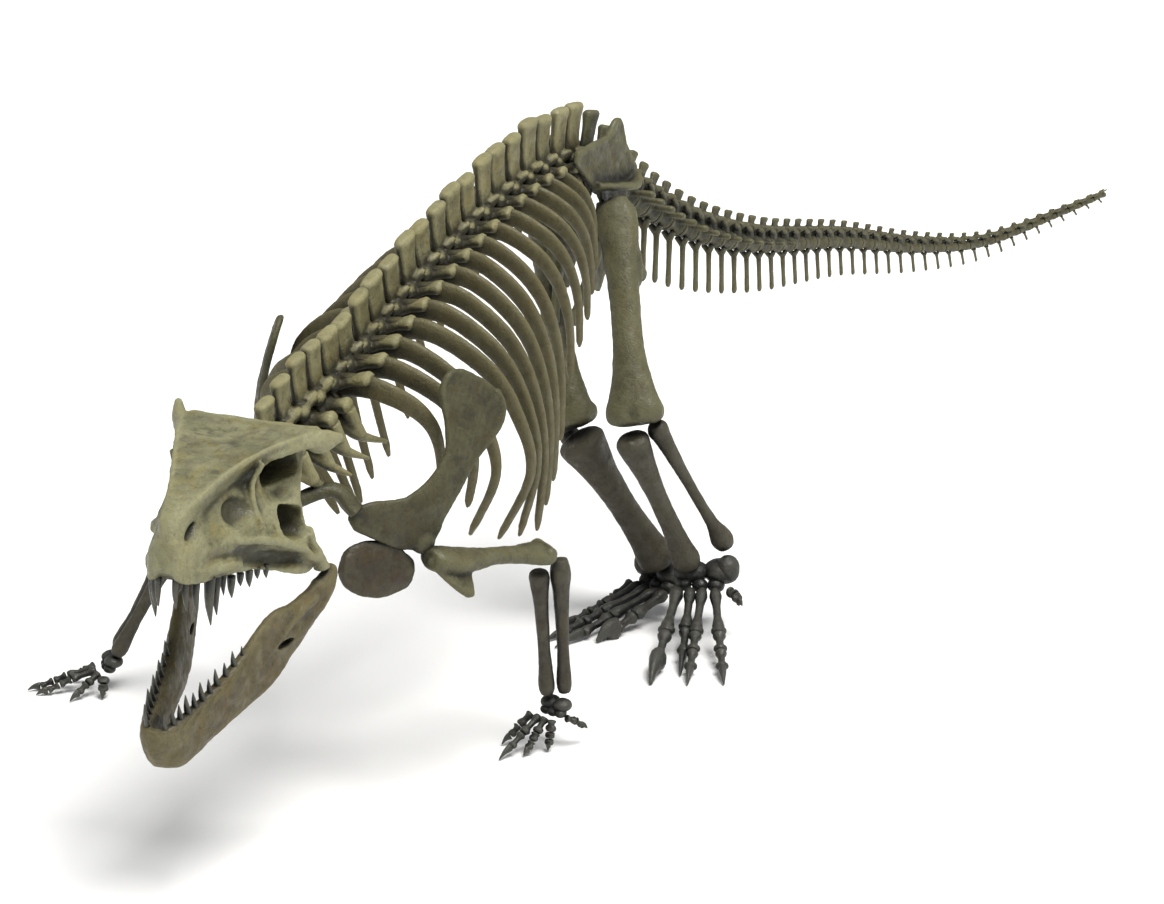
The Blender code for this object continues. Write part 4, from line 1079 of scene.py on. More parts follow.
@dataclass
class Neck:
    """Neck bones with tall spines and short, stout, pointed ribs."""

    voxel: float = 0.0016
    spine_low: float = 0.064
    spine_high: float = 0.080
    radius: float = 0.0152
    wing_reach: float = 0.040

    def rib(self, place: Place, sign: float, share: float) -> Clay:
        """Give one neck rib, forked at its root and drawn out backwards to a point.

        Args:
            place: Middle of its vertebra.
            sign: 1 for the left side, -1 for the right.
            share: Place in the neck, 0 at its front and 1 at its back.

        Returns:
            The rib, not yet fused.
        """
        clay = Clay()
        root = place.at(sign * 0.012, -0.006)
        upper = place.at(sign * 0.036, 0.006, 0.003)
        bend = place.at(sign * 0.041, -0.030, 0.010)
        end = place.at(sign * 0.053, -0.054, 0.010 + blend(0.018, 0.034, share))
        path = curve([root, root.lerp(bend, 0.5) + place.side * (sign * 0.005), bend, end], 4)
        falls = [(i / (len(path) - 1)) ** 1.8 for i in range(len(path))]
        sizes = [(blend(0.0105, 0.0022, fall), blend(0.0110, 0.0026, fall)) for fall in falls]
        clay.tube(path, UP, sizes, 10)
        clay.rod([upper, upper.lerp(bend, 0.55), bend], [0.0085, 0.0078, 0.0085])
        return clay

    def build(self, shop: Workshop) -> None:
        """Build the neck in the shop."""
        bones = []
        for i in range(CERVICALS):
            height = blend(self.spine_low, self.spine_high, min(1.0, i / 2))
            bone = Vertebra(COLUMN[i], COLUMN[i + 1], self.radius + 0.0006 * i, height, 0.031, 0.0062, 0.006,
                            facet=0.0092, wing_reach=self.wing_reach, wing_rise=0.010, wing_back=0.004,
                            wing_thick=0.0075, wing_broad=0.0125)
            bones.append(bone.clay().fuse(self.voxel, 2, roughen=0.0006))
            place = between(COLUMN[i], COLUMN[i + 1])
            for sign in BOTH_WAYS:
                bones.append(self.rib(place, sign, i / (CERVICALS - 1)).fuse(self.voxel, 2, roughen=0.0004))
        shop.piece("neck_bones", bones, SPINE_BONE, ["neck"])


@dataclass
class Chest:
    """The back bones and the two rows of ribs; shares run from 0 at the shoulders to 1 at the hips."""

    voxel: float = 0.0017
    rib_voxel: float = 0.0015
    widths: Knots = ((0.0, 0.112), (0.063, 0.132), (0.125, 0.135), (0.188, 0.157), (0.25, 0.149),
                     (0.31, 0.142), (0.375, 0.133), (0.50, 0.112), (0.70, 0.092), (0.86, 0.062),
                     (0.93, 0.028), (1.0, 0.024))
    end_widths: Knots = ((0.0, 0.107), (0.063, 0.115), (0.125, 0.091), (0.188, 0.104), (0.25, 0.115),
                         (0.31, 0.122), (0.375, 0.118), (0.50, 0.102), (0.70, 0.086), (0.86, 0.058),
                         (0.93, 0.026), (1.0, 0.022))
    end_heights: Knots = ((0.0, 0.339), (0.063, 0.296), (0.125, 0.245), (0.188, 0.228), (0.25, 0.224),
                          (0.31, 0.221), (0.375, 0.243), (0.44, 0.262), (0.50, 0.300), (0.57, 0.372),
                          (0.70, 0.425), (0.86, 0.480), (0.93, 0.512), (1.0, 0.534))
    sweeps: Knots = ((0.0, 0.050), (0.063, 0.060), (0.125, 0.075), (0.188, 0.085), (0.38, 0.070),
                     (0.60, 0.070), (0.86, 0.050), (1.0, 0.012))
    right_shares: Knots = ((0.0, 0.88), (0.25, 0.86), (0.45, 1.0), (1.0, 1.0))
    # share of the greatest width, of the drop and of the sweep at each bend of a rib
    bends: Knots = ((0.07, 0.0, 0.0), (0.42, 0.0, 0.05), (0.80, 0.15, 0.22), (0.97, 0.36, 0.45),
                    (1.0, 0.64, 0.72))
    # share of the rib's length, half depth, half breadth fore and aft
    sections: Knots = ((0.0, 0.0140, 0.0098), (0.2, 0.0132, 0.0062), (0.4, 0.0122, 0.0056),
                       (0.6, 0.0092, 0.0060), (0.8, 0.0058, 0.0068), (0.97, 0.0044, 0.0070),
                       (1.0, 0.0022, 0.0034))

    def rib_path(self, place: Place, side: Side, share: float) -> list[Vector]:
        """Give the middle line of one rib.

        Args:
            place: Middle of its vertebra.
            side: Side of the animal.
            share: Place along the back.

        Returns:
            Points from the vertebra to the rib's free end.
        """
        root = place.at(rise=0.014)
        press = 1.0 if side is Side.LEFT else profile(share, self.right_shares)
        wide = profile(share, self.widths) * press
        drop = root.z - profile(share, self.end_heights)
        sweep = profile(share, self.sweeps)
        path = [root + Vector((side.sign * x * wide, y * sweep, -z * drop)) for x, z, y in self.bends]
        path.append(root + Vector((side.sign * profile(share, self.end_widths) * press, sweep, -drop)))
        return curve(path, 7)

    def rib(self, place: Place, side: Side, share: float) -> Clay:
        """Give one flattened rib with a forked head.

        Args:
            place: Middle of its vertebra.
            side: Side of the animal.
            share: Place along the back.

        Returns:
            The rib, not yet fused.
        """
        clay = Clay()
        path = self.rib_path(place, side, share)
        thin = blend(1.0, 0.72, share)
        rings = []
        for i, spot in enumerate(places_along(path, BACKWARD)):
            flat = (BACKWARD - spot.along * spot.along.y).normalized()
            broad, deep = (profile(i / (len(path) - 1), self.sections, column) * thin for column in (2, 1))
            rings.append(oval(spot.point, flat, flat.cross(spot.along), broad, deep, 12, 0.85))
        clay.loft(rings)
        head = place.at(side.sign * 0.011, -0.002)
        clay.rod([head, head.lerp(path[6], 0.6) - UP * 0.002, path[7]], [0.0062, 0.0048, 0.0042])
        return clay

    def build(self, shop: Workshop) -> None:
        """Build the back bones and both rows of ribs in the shop."""
        back = []
        ribs: dict[Side, list[bpy.types.Mesh]] = {Side.LEFT: [], Side.RIGHT: []}
        for i in range(DORSALS):
            start, end = COLUMN[CHEST_START + i], COLUMN[CHEST_START + i + 1]
            share = i / (DORSALS - 1)
            height = blend(0.072, 0.089, share) + 0.003 * uneven(i, 1)
            bone = Vertebra(start, end, 0.0165 + 0.0022 * i / DORSALS, height, 0.037 + 0.003 * uneven(i, 2),
                            0.0066, 0.008 + 0.004 * uneven(i, 3), facet=0.0074,
                            wing_reach=blend(0.050, 0.030, share),
                            wing_rise=blend(0.024, 0.019, share), wing_back=0.004, wing_thick=0.0062,
                            wing_broad=0.0125)
            back.append(bone.clay().fuse(self.voxel, 2, roughen=0.0006))
            for side, row in ribs.items():
                row.append(self.rib(between(start, end), side, share).fuse(self.rib_voxel, 2, roughen=0.0004))
        shop.piece("back_bones", back, SPINE_BONE, ["rib_cage_left", "rib_cage_right"])
        for side, row in ribs.items():
            shop.sided("ribs", "rib_cage", side, row, RIB_BONE)


# ---------------------------------------------------------------- hips and tail
@dataclass
class Hips:
    """The sacral bones and, on each side, the ilium, pubis and ischium."""

    voxel: float = 0.0017
    blade_outline: Knots = ((-0.112, 0.588), (-0.106, 0.602), (-0.060, 0.605), (-0.020, 0.607),
                            (0.000, 0.622), (0.016, 0.620), (0.026, 0.594), (0.064, 0.552), (0.056, 0.538),
                            (0.036, 0.534), (0.030, 0.510), (-0.030, 0.510), (-0.048, 0.540), (-0.080, 0.562))
    # points from the socket to the end of each lower bone, and its half thickness and half depth there
    pubis: Knots = ((0.0, -0.018, 0.008), (-0.002, -0.034, -0.045), (-0.010, -0.060, -0.098),
                    (-0.016, -0.080, -0.134))
    pubis_sizes: Knots = ((0.008, 0.020), (0.006, 0.015), (0.0055, 0.009), (0.0062, 0.0085))
    ischium: Knots = ((0.0, 0.018, 0.006), (-0.004, 0.050, -0.040), (-0.010, 0.092, -0.088),
                      (-0.012, 0.122, -0.118))
    ischium_sizes: Knots = ((0.009, 0.018), (0.006, 0.015), (0.005, 0.011), (0.0058, 0.0095))
    # the ledge that overhangs the socket
    shelf: Knots = ((0.036, -0.062, 0.553), (0.044, -0.030, 0.546), (0.050, 0.000, 0.541),
                    (0.045, 0.028, 0.538), (0.036, 0.050, 0.545))
    web_outline: Knots = ((-0.024, 0.520), (0.026, 0.520), (0.062, 0.462), (0.048, 0.448), (0.010, 0.450),
                          (-0.022, 0.408), (-0.048, 0.424), (-0.074, 0.458), (-0.056, 0.498))

    def sacrum(self, shop: Workshop) -> None:
        """Build the three vertebrae that carry the hips."""
        bones = []
        for i in range(SACRALS):
            bone = Vertebra(COLUMN[HIP_START + i], COLUMN[HIP_START + i + 1], 0.0190,
                            blend(0.082, 0.056, i / 2), 0.034, 0.0058, 0.010, waist=0.82, facet=0.0068,
                            wing_reach=0.0275, wing_rise=0.012, wing_thick=0.0095, wing_broad=0.0125)
            bones.append(bone.clay().fuse(self.voxel, 2, roughen=0.0006))
        shop.piece("sacral_bones", bones, HIP_BONE, ["sacrum"])

    def hip(self, side: Side) -> bpy.types.Mesh:
        """Give one side's three bones, joined round the hip socket.

        Args:
            side: Side of the animal.

        Returns:
            The finished bone.
        """
        sign = side.sign
        clay = Clay()
        blade = [Vector((sign * (0.0326 + 0.01 * (0.60 - z)), y, z)) for y, z in self.blade_outline]
        clay.slab(blade, RIGHTWARD, 0.0070)
        crest = curve([point - UP * 0.004 for point in blade[1:7]], 3)
        clay.rod(crest, [0.0050] * len(crest))
        socket = Vector((sign * 0.028, 0.002, 0.512))
        for spots, sizes in ((self.pubis, self.pubis_sizes), (self.ischium, self.ischium_sizes)):
            path = [socket + Vector((sign * x, y, z)) for x, y, z in spots]
            clay.tube(curve(path, 4), RIGHTWARD, taper(sizes, 4))
        web = [Vector((sign * (0.0255 - 0.04 * (0.512 - z)), y, z)) for y, z in self.web_outline]
        clay.slab(web, RIGHTWARD, 0.0068)
        shelf = curve([(sign * x, y, z) for x, y, z in self.shelf], 3)
        last = len(shelf) - 1
        clay.tube(shelf, RIGHTWARD, [(blend(0.010, 0.014, math.sin(math.pi * i / last)), 0.0052)
                                     for i in range(last + 1)])
        rim = [socket + Vector((sign * 0.003, 0.026 * math.cos(turn), 0.004 + 0.024 * math.sin(turn)))
               for turn in np.linspace(0.15 * math.pi, 0.95 * math.pi, 9)]
        clay.rod(rim, [0.0050] * len(rim))
        return clay.fuse(self.voxel, 3, roughen=0.0008)

    def build(self, shop: Workshop) -> None:
        """Build the hips in the shop."""
        self.sacrum(shop)
        for side in Side:
            shop.sided("hip_bone", "hip", side, [self.hip(side)], HIP_BONE)


@dataclass
class Tail:
    """Forty tail bones with spines above and chevrons below."""

    front_radius: float = 0.0185
    end_radius: float = 0.0042
    last_wing: int = 13
    # finest detail of each length of the tail
    voxels: tuple[float, ...] = (0.0016, 0.0013, 0.0011, 0.0009)

    def radius(self, joint: int) -> float:
        """Radius of the body at a joint of the tail."""
        return blend(self.front_radius, self.end_radius, (joint / CAUDALS) ** 0.85)

    def bone(self, number: int) -> Clay:
        """Give one tail bone, without its chevron.

        Args:
            number: Its number, 0 behind the hips.

        Returns:
            The bone, not yet fused.
        """
        share = number / (CAUDALS - 1)
        fade = 1.0 - share
        wing_share = number / self.last_wing
        height = 0.010 + 0.038 * fade + 0.010 * math.exp(-number / 2.0)
        bone = Vertebra(COLUMN[TAIL_START + number], COLUMN[TAIL_START + number + 1],
                        self.radius(number) * 0.97, height, 0.007 + 0.012 * fade, 0.0014 + 0.0026 * fade,
                        0.006 + 0.006 * fade, waist=0.78, facet=blend(0.0060, 0.0018, share),
                        wing_reach=blend(0.044, 0.018, wing_share) if wing_share <= 1.0 else 0.0,
                        wing_rise=0.002, wing_back=0.006, wing_thick=blend(0.0042, 0.0028, wing_share),
                        wing_broad=blend(0.0080, 0.0050, wing_share))
        return bone.clay()

    def chevron(self, number: int) -> Clay:
        """Give the forked blade that hangs below a tail bone.

        Args:
            number: Number of the tail bone.

        Returns:
            The chevron, not yet fused.
        """
        fade = 1.0 - number / (CAUDALS - 1)
        place = between(COLUMN[TAIL_START + number], COLUMN[TAIL_START + number + 1])
        drop = 0.012 + 0.080 * fade ** 1.2
        slim = 0.0012 + 0.0026 * fade
        radius = self.radius(number)
        back = 0.010 + 0.012 * fade + 0.022 * math.exp(-number / 3.0)
        clay = Clay()
        fork = place.at(rise=-max(radius * 1.35, drop * 0.30), ahead=back * 0.3)
        for sign in BOTH_WAYS:
            clay.rod([place.at(sign * radius * 0.45, -radius * 0.80), fork], [slim * 1.3, slim * 1.1], 8)
        tip = place.at(rise=-drop, ahead=back)
        path = [fork, fork.lerp(tip, 0.5), fork.lerp(tip, 0.92), tip]
        sizes = ((1.15, 1.4), (0.85, 1.5), (0.90, 1.8), (0.5, 1.0))
        clay.tube(path, place.side, [(slim * wide, slim * deep) for wide, deep in sizes], 10)
        return clay

    def build(self, shop: Workshop) -> None:
        """Build the four lengths of the tail in the shop."""
        for run, ((first, last), voxel) in enumerate(zip(TAIL_RUNS, self.voxels), start=1):
            bones = []
            for number in range(first, last):
                bones.append(self.bone(number).fuse(voxel, 2, roughen=0.0004))
                if number > 1:
                    bones.append(self.chevron(number).fuse(voxel, 1, roughen=0.0003))
            shop.piece(f"tail_bones_{run}", bones, TAIL_BONE, [f"tail_{run}"])


# ---------------------------------------------------------------- head
@dataclass(frozen=True)
class Head:
    """The head's own axes: forward, left and up of the point midway between the rear horns."""

    point: Vector = field(default_factory=lambda: Vector((0.012, -0.820, 0.4555)))
    yaw: float = 0.155
    pitch: float = -0.040
    roll: float = -0.048

    @property
    def axes(self) -> tuple[Vector, Vector, Vector]:
        """Forward, left and up."""
        forward = Vector((math.sin(self.yaw) * math.cos(self.pitch),
                          -math.cos(self.yaw) * math.cos(self.pitch), -math.sin(self.pitch)))
        left = Vector((math.cos(self.yaw), math.sin(self.yaw), 0.0))
        turn = Matrix.Rotation(self.roll, 3, forward)
        return forward, turn @ left, turn @ (left.cross(forward) * -1.0)

    def at(self, x: float, y: float, z: float) -> Vector:
        """Give the place that lies x forward, y left and z up in the head."""
        forward, left, up = self.axes
        return self.point + forward * x + left * y + up * z

    def trail(self, points: Knots, sign: float) -> list[Vector]:
        """Give a smooth curve through places on the left (1) or right (-1) side of the head."""
        return curve([self.at(x, sign * y, z) for x, y, z in points], 3)


@dataclass
class Skull:
    """The skull: a flat table between two ridges that end in horns, and a deep cheek below them."""

    head: Head
    voxel: float = 0.0014
    snout_end: float = 0.16
    # forward place; half width and height of the ridge; height of the middle; half width and height of the
    # hollow under the ridge; of the cheek ridge; of the wall under it; of the lip; height of the palate
    sections: Knots = (
        (0.003, 0.064, 0.001, 0.003, 0.048, -0.020, 0.056, -0.060, 0.056, -0.080, 0.056, -0.098, -0.084),
        (0.012, 0.071, 0.004, 0.004, 0.056, -0.022, 0.074, -0.110, 0.074, -0.122, 0.074, -0.136, -0.094),
        (0.040, 0.071, 0.003, 0.002, 0.055, -0.024, 0.082, -0.122, 0.077, -0.131, 0.078, -0.144, -0.108),
        (0.066, 0.064, 0.003, 0.001, 0.047, -0.024, 0.080, -0.110, 0.070, -0.120, 0.072, -0.138, -0.108),
        (0.092, 0.054, 0.001, -0.001, 0.038, -0.025, 0.073, -0.099, 0.062, -0.110, 0.064, -0.129, -0.104),
        (0.124, 0.042, -0.005, -0.007, 0.029, -0.031, 0.060, -0.087, 0.051, -0.100, 0.053, -0.120, -0.100),
        (0.157, 0.030, -0.015, -0.015, 0.023, -0.041, 0.046, -0.080, 0.042, -0.094, 0.044, -0.116, -0.098),
        (0.184, 0.021, -0.028, -0.026, 0.019, -0.050, 0.034, -0.080, 0.034, -0.094, 0.036, -0.114, -0.100),
        (0.206, 0.0155, -0.037, -0.034, 0.018, -0.054, 0.028, -0.082, 0.029, -0.096, 0.030, -0.114, -0.102),
        (0.222, 0.0120, -0.047, -0.045, 0.015, -0.062, 0.022, -0.084, 0.023, -0.096, 0.022, -0.112, -0.102),
        (0.232, 0.006, -0.060, -0.059, 0.009, -0.070, 0.013, -0.084, 0.013, -0.094, 0.012, -0.106, -0.100),
    )
    # forward place, height, half length, half height, tilt and depth of each hollow pressed into the side
    hollows: Knots = ((0.056, -0.042, 0.048, 0.034, -0.14, 0.017),
                      (0.142, -0.056, 0.026, 0.016, -0.36, 0.0110),
                      (0.064, -0.088, 0.032, 0.022, 0.27, 0.006),
                      (0.094, -0.116, 0.066, 0.0130, 0.20, 0.0062),
                      (0.209, -0.061, 0.022, 0.0100, -0.60, 0.0040))
    # the tip of each rear horn: forward place, distance from the middle and height
    horn_tips = {Side.LEFT: (-0.002, 0.0890, -0.008), Side.RIGHT: (-0.006, 0.0920, 0.005)}
    # how far the rear border stands forward, by height
    rear_border: Knots = ((-0.145, 0.0), (-0.112, 0.024), (-0.066, 0.027), (-0.022, 0.0))
    # forward place, half width of the tooth row, length and radius of each upper tooth
    teeth: Knots = ((0.225, 0.010, 0.018, 0.0038), (0.217, 0.018, 0.022, 0.0042),
                    (0.207, 0.025, 0.026, 0.0044), (0.188, 0.032, 0.044, 0.0060),
                    (0.177, 0.034, 0.036, 0.0056), (0.165, 0.037, 0.018, 0.0042),
                    (0.153, 0.041, 0.024, 0.0046), (0.141, 0.046, 0.014, 0.0040),
                    (0.129, 0.051, 0.018, 0.0042), (0.117, 0.055, 0.012, 0.0036),
                    (0.105, 0.060, 0.014, 0.0036))

    def ring(self, row: Sequence[float]) -> list[Vector]:
        """Give one cross-section of the skull.

        Args:
            row: The section's sizes, as in sections.

        Returns:
            Points from the crown down the left side to the palate and up the right side.
        """
        x, ridge, ridge_z, crown, hollow, hollow_z, cheek, cheek_z, wall, wall_z, lip, lip_z, palate = row
        half = [(ridge * 0.45, crown - 0.001), (ridge * 0.80, (crown + ridge_z) / 2 - 0.001),
                (ridge - 0.002, ridge_z + 0.001), (ridge, ridge_z - 0.003), (ridge * 0.93, ridge_z - 0.008),
                (hollow, hollow_z), (blend(hollow, cheek, 0.35), blend(hollow_z, cheek_z, 0.35)),
                (blend(hollow, cheek, 0.75), blend(hollow_z, cheek_z, 0.72)), (cheek, cheek_z),
                (wall, wall_z), (lip * 0.99, blend(wall_z, lip_z, 0.6)), (lip, lip_z),
                (lip - min(0.008, lip * 0.3), lip_z), (lip * 0.62, blend(lip_z, palate, 0.8))]
        ring = [self.head.at(x, 0, crown)]
        ring += [self.head.at(x, wide, high) for wide, high in half]
        ring.append(self.head.at(x, 0, palate))
        ring += [self.head.at(x, -wide, high) for wide, high in reversed(half)]
        return ring

    def horn(self, clay: Clay, side: Side) -> None:
        """Add the ridge's free end, which stands out behind as a blunt horn.

        Args:
            clay: Shells of the skull.
            side: Side of the skull.
        """
        tip = self.horn_tips[side]
        points = [(0.092, 0.044, -0.010), (0.060, 0.058, -0.008), (0.034, 0.0700, -0.008),
                  (0.012, blend(0.070, tip[1], 0.62), blend(-0.009, tip[2], 0.5)), tip]
        path = self.head.trail(points, side.sign)
        sizes = ((0.0045, 0.006), (0.0090, 0.0085), (0.0130, 0.0092), (0.0120, 0.0075), (0.0052, 0.0050))
        clay.tube(path, UP, taper(sizes))
        clay.ball(path[-1], 0.0052)

    def bars(self, clay: Clay, side: Side) -> None:
        """Add the jaw joint, the cheek ridge, the bar before the eye and the swelling over the great teeth.

        Args:
            clay: Shells of the skull.
            side: Side of the skull.
        """
        post = ((0.022, 0.0755, -0.096), (0.014, 0.0790, -0.125), (0.011, 0.0810, -0.147))
        clay.tube(self.head.trail(post, side.sign), self.head.axes[0],
                  taper(((0.011, 0.0065), (0.012, 0.0075), (0.0105, 0.0090))))
        cheek = ((0.010, 0.0775, -0.134), (0.040, 0.0785, -0.121), (0.085, 0.0715, -0.100),
                 (0.125, 0.0580, -0.087), (0.160, 0.0440, -0.081)), (0.0080, 0.0068, 0.0056, 0.0048, 0.0040)
        brace = ((0.106, 0.0490, -0.012), (0.114, 0.0410, -0.034), (0.118, 0.0460, -0.058),
                 (0.116, 0.0560, -0.080)), (0.0042, 0.0042, 0.0042, 0.0042)
        swell = ((0.206, 0.022, -0.102), (0.188, 0.031, -0.102), (0.168, 0.038, -0.104),
                 (0.146, 0.044, -0.109)), (0.0092, 0.0090, 0.0076, 0.0058)
        for points, radii in (cheek, brace, swell):
            clay.rod(self.head.trail(points, side.sign), eased(radii))

    def snout(self, clay: Clay) -> None:
        """Add the swollen tip of the snout with the bulges over its front teeth."""
        clay.pebble(self.head.at(0.216, 0.0, -0.086), self.head.axes, (0.0165, 0.020, 0.025))
        for sign in BOTH_WAYS:
            clay.pebble(self.head.at(0.221, sign * 0.012, -0.096), self.head.axes, (0.010, 0.010, 0.0165))

    def pressed(self, points: np.ndarray) -> np.ndarray:
        """Press the hollows into both sides of the skull, and a shallow trough into its crown.

        Args:
            points: Places on the skull's surface.

        Returns:
            Their new places.
        """
        axes = np.array([list(axis) for axis in self.head.axes])
        local = (points - np.array(self.head.point)) @ axes.T
        x, y, z = local.T
        side = np.clip(y / 0.012, -1.0, 1.0)
        move = np.zeros_like(y)
        for x0, z0, half_x, half_z, tilt, depth in self.hollows:
            long_way = (x - x0) * math.cos(tilt) + (z - z0) * math.sin(tilt)
            high_way = (z - z0) * math.cos(tilt) - (x - x0) * math.sin(tilt)
            inside = np.clip(1.35 * (1.0 - np.hypot(long_way / half_x, high_way / half_z)), 0.0, 1.0)
            move = np.maximum(move, depth * inside * inside * (3.0 - 2.0 * inside))
        y -= side * move
        x += profile_of(z, self.rear_border) * np.clip((0.062 - x) / 0.048, 0.0, 1.0)
        crown = np.clip(1.0 - np.hypot((x - 0.070) / 0.075, y / 0.055), 0.0, 1.0)
        z -= np.where(z > -0.04, 0.009 * crown, 0.0)
        return np.array(self.head.point) + np.stack([x, y, z], axis=1) @ axes

    def post(self, cuts: Clay, side: Side, x: float, z: float, half: tuple[float, float],
             reach: tuple[float, float], tilt: float = 0.0, square: float = 1.0) -> None:
        """Add a peg that hollows an opening into the side of the skull.

        Args:
            cuts: Where the peg goes.
            side: Side of the skull.
            x: Forward place of its middle.
            z: Height of its middle.
            half: Half its length and half its height.
            reach: How far from the middle plane it starts and ends.
            tilt: How much its front is turned up, in radians.
            square: 1 for an oval opening, less for a boxier one.
        """
        forward, _, up = self.head.axes
        long_way = forward * math.cos(tilt) + up * math.sin(tilt)
        high_way = up * math.cos(tilt) - forward * math.sin(tilt)
        rings = []
        for out, grow in ((reach[0], 0.55), (reach[0] + 0.006, 0.8), (reach[1], 1.12)):
            middle = self.head.at(x, side.sign * out, z)
            rings.append(oval(middle, long_way, high_way, half[0] * grow, half[1] * grow, 20, square))
        cuts.loft(rings)

    def openings(self) -> Clay:
        """Give the shapes of the eye, cheek and nose openings."""
        cuts = Clay()
        for side in Side:
            self.post(cuts, side, 0.056, -0.031, (0.0350, 0.0200), (0.006, 0.12), -0.14, 0.85)
            self.post(cuts, side, 0.066, -0.083, (0.0275, 0.0185), (0.020, 0.12), 0.24, 0.7)
            self.post(cuts, side, 0.209, -0.061, (0.0160, 0.0036), (0.004, 0.12), -0.60)
        return cuts

    def tooth(self, clay: Clay, gum: Vector, tip: Vector, radius: float, back: Vector) -> None:
        """Add one pointed tooth that bends a little backwards.

        Args:
            clay: Shells of the row of teeth.
            gum: Middle of its root.
            tip: Its point.
            radius: Its half depth at the root.
            back: Backwards in the mouth.
        """
        mid = gum.lerp(tip, 0.55) - back * (0.06 * (tip - gum).length)
        path = curve([gum, mid, tip], 4)
        sizes = [(radius * 0.78 * size, radius * size) for size in
                 (1.0, 1.0, 0.95, 0.88, 0.78, 0.65, 0.48, 0.30, 0.10)]
        clay.tube(path, back, sizes, 8)

    def build(self, shop: Workshop) -> None:
        """Build the skull and the upper teeth in the shop."""
        clay = Clay()
        clay.loft([self.ring(row) for row in spline(self.sections, 3)])
        for side in Side:
            self.horn(clay, side)
            self.bars(clay, side)
        self.snout(clay)
        bone = clay.fuse(self.voxel, 3, cuts=self.openings(), roughen=0.0009, press=self.pressed)
        # Wide surroundings, so that the skull's large hollows count as hollows and get painted shade.
        shop.piece("skull_bone", [bone], SKULL_BONE, ["skull"], 48, 0.0034)
        forward, _, up = self.head.axes
        row = Clay()
        for x, y, length, radius in self.teeth:
            for sign in BOTH_WAYS:
                across = sign * y * 0.93
                gum = self.head.at(x, across, -0.106 if x > self.snout_end else -0.119)
                tip = self.head.at(x, across, -0.104) - up * (length + 0.016) - forward * 0.12 * length
                self.tooth(row, gum, tip, radius, -forward)
        shop.piece("upper_teeth", [row.raw()], TOOTH, ["skull"], 3, 0.001)


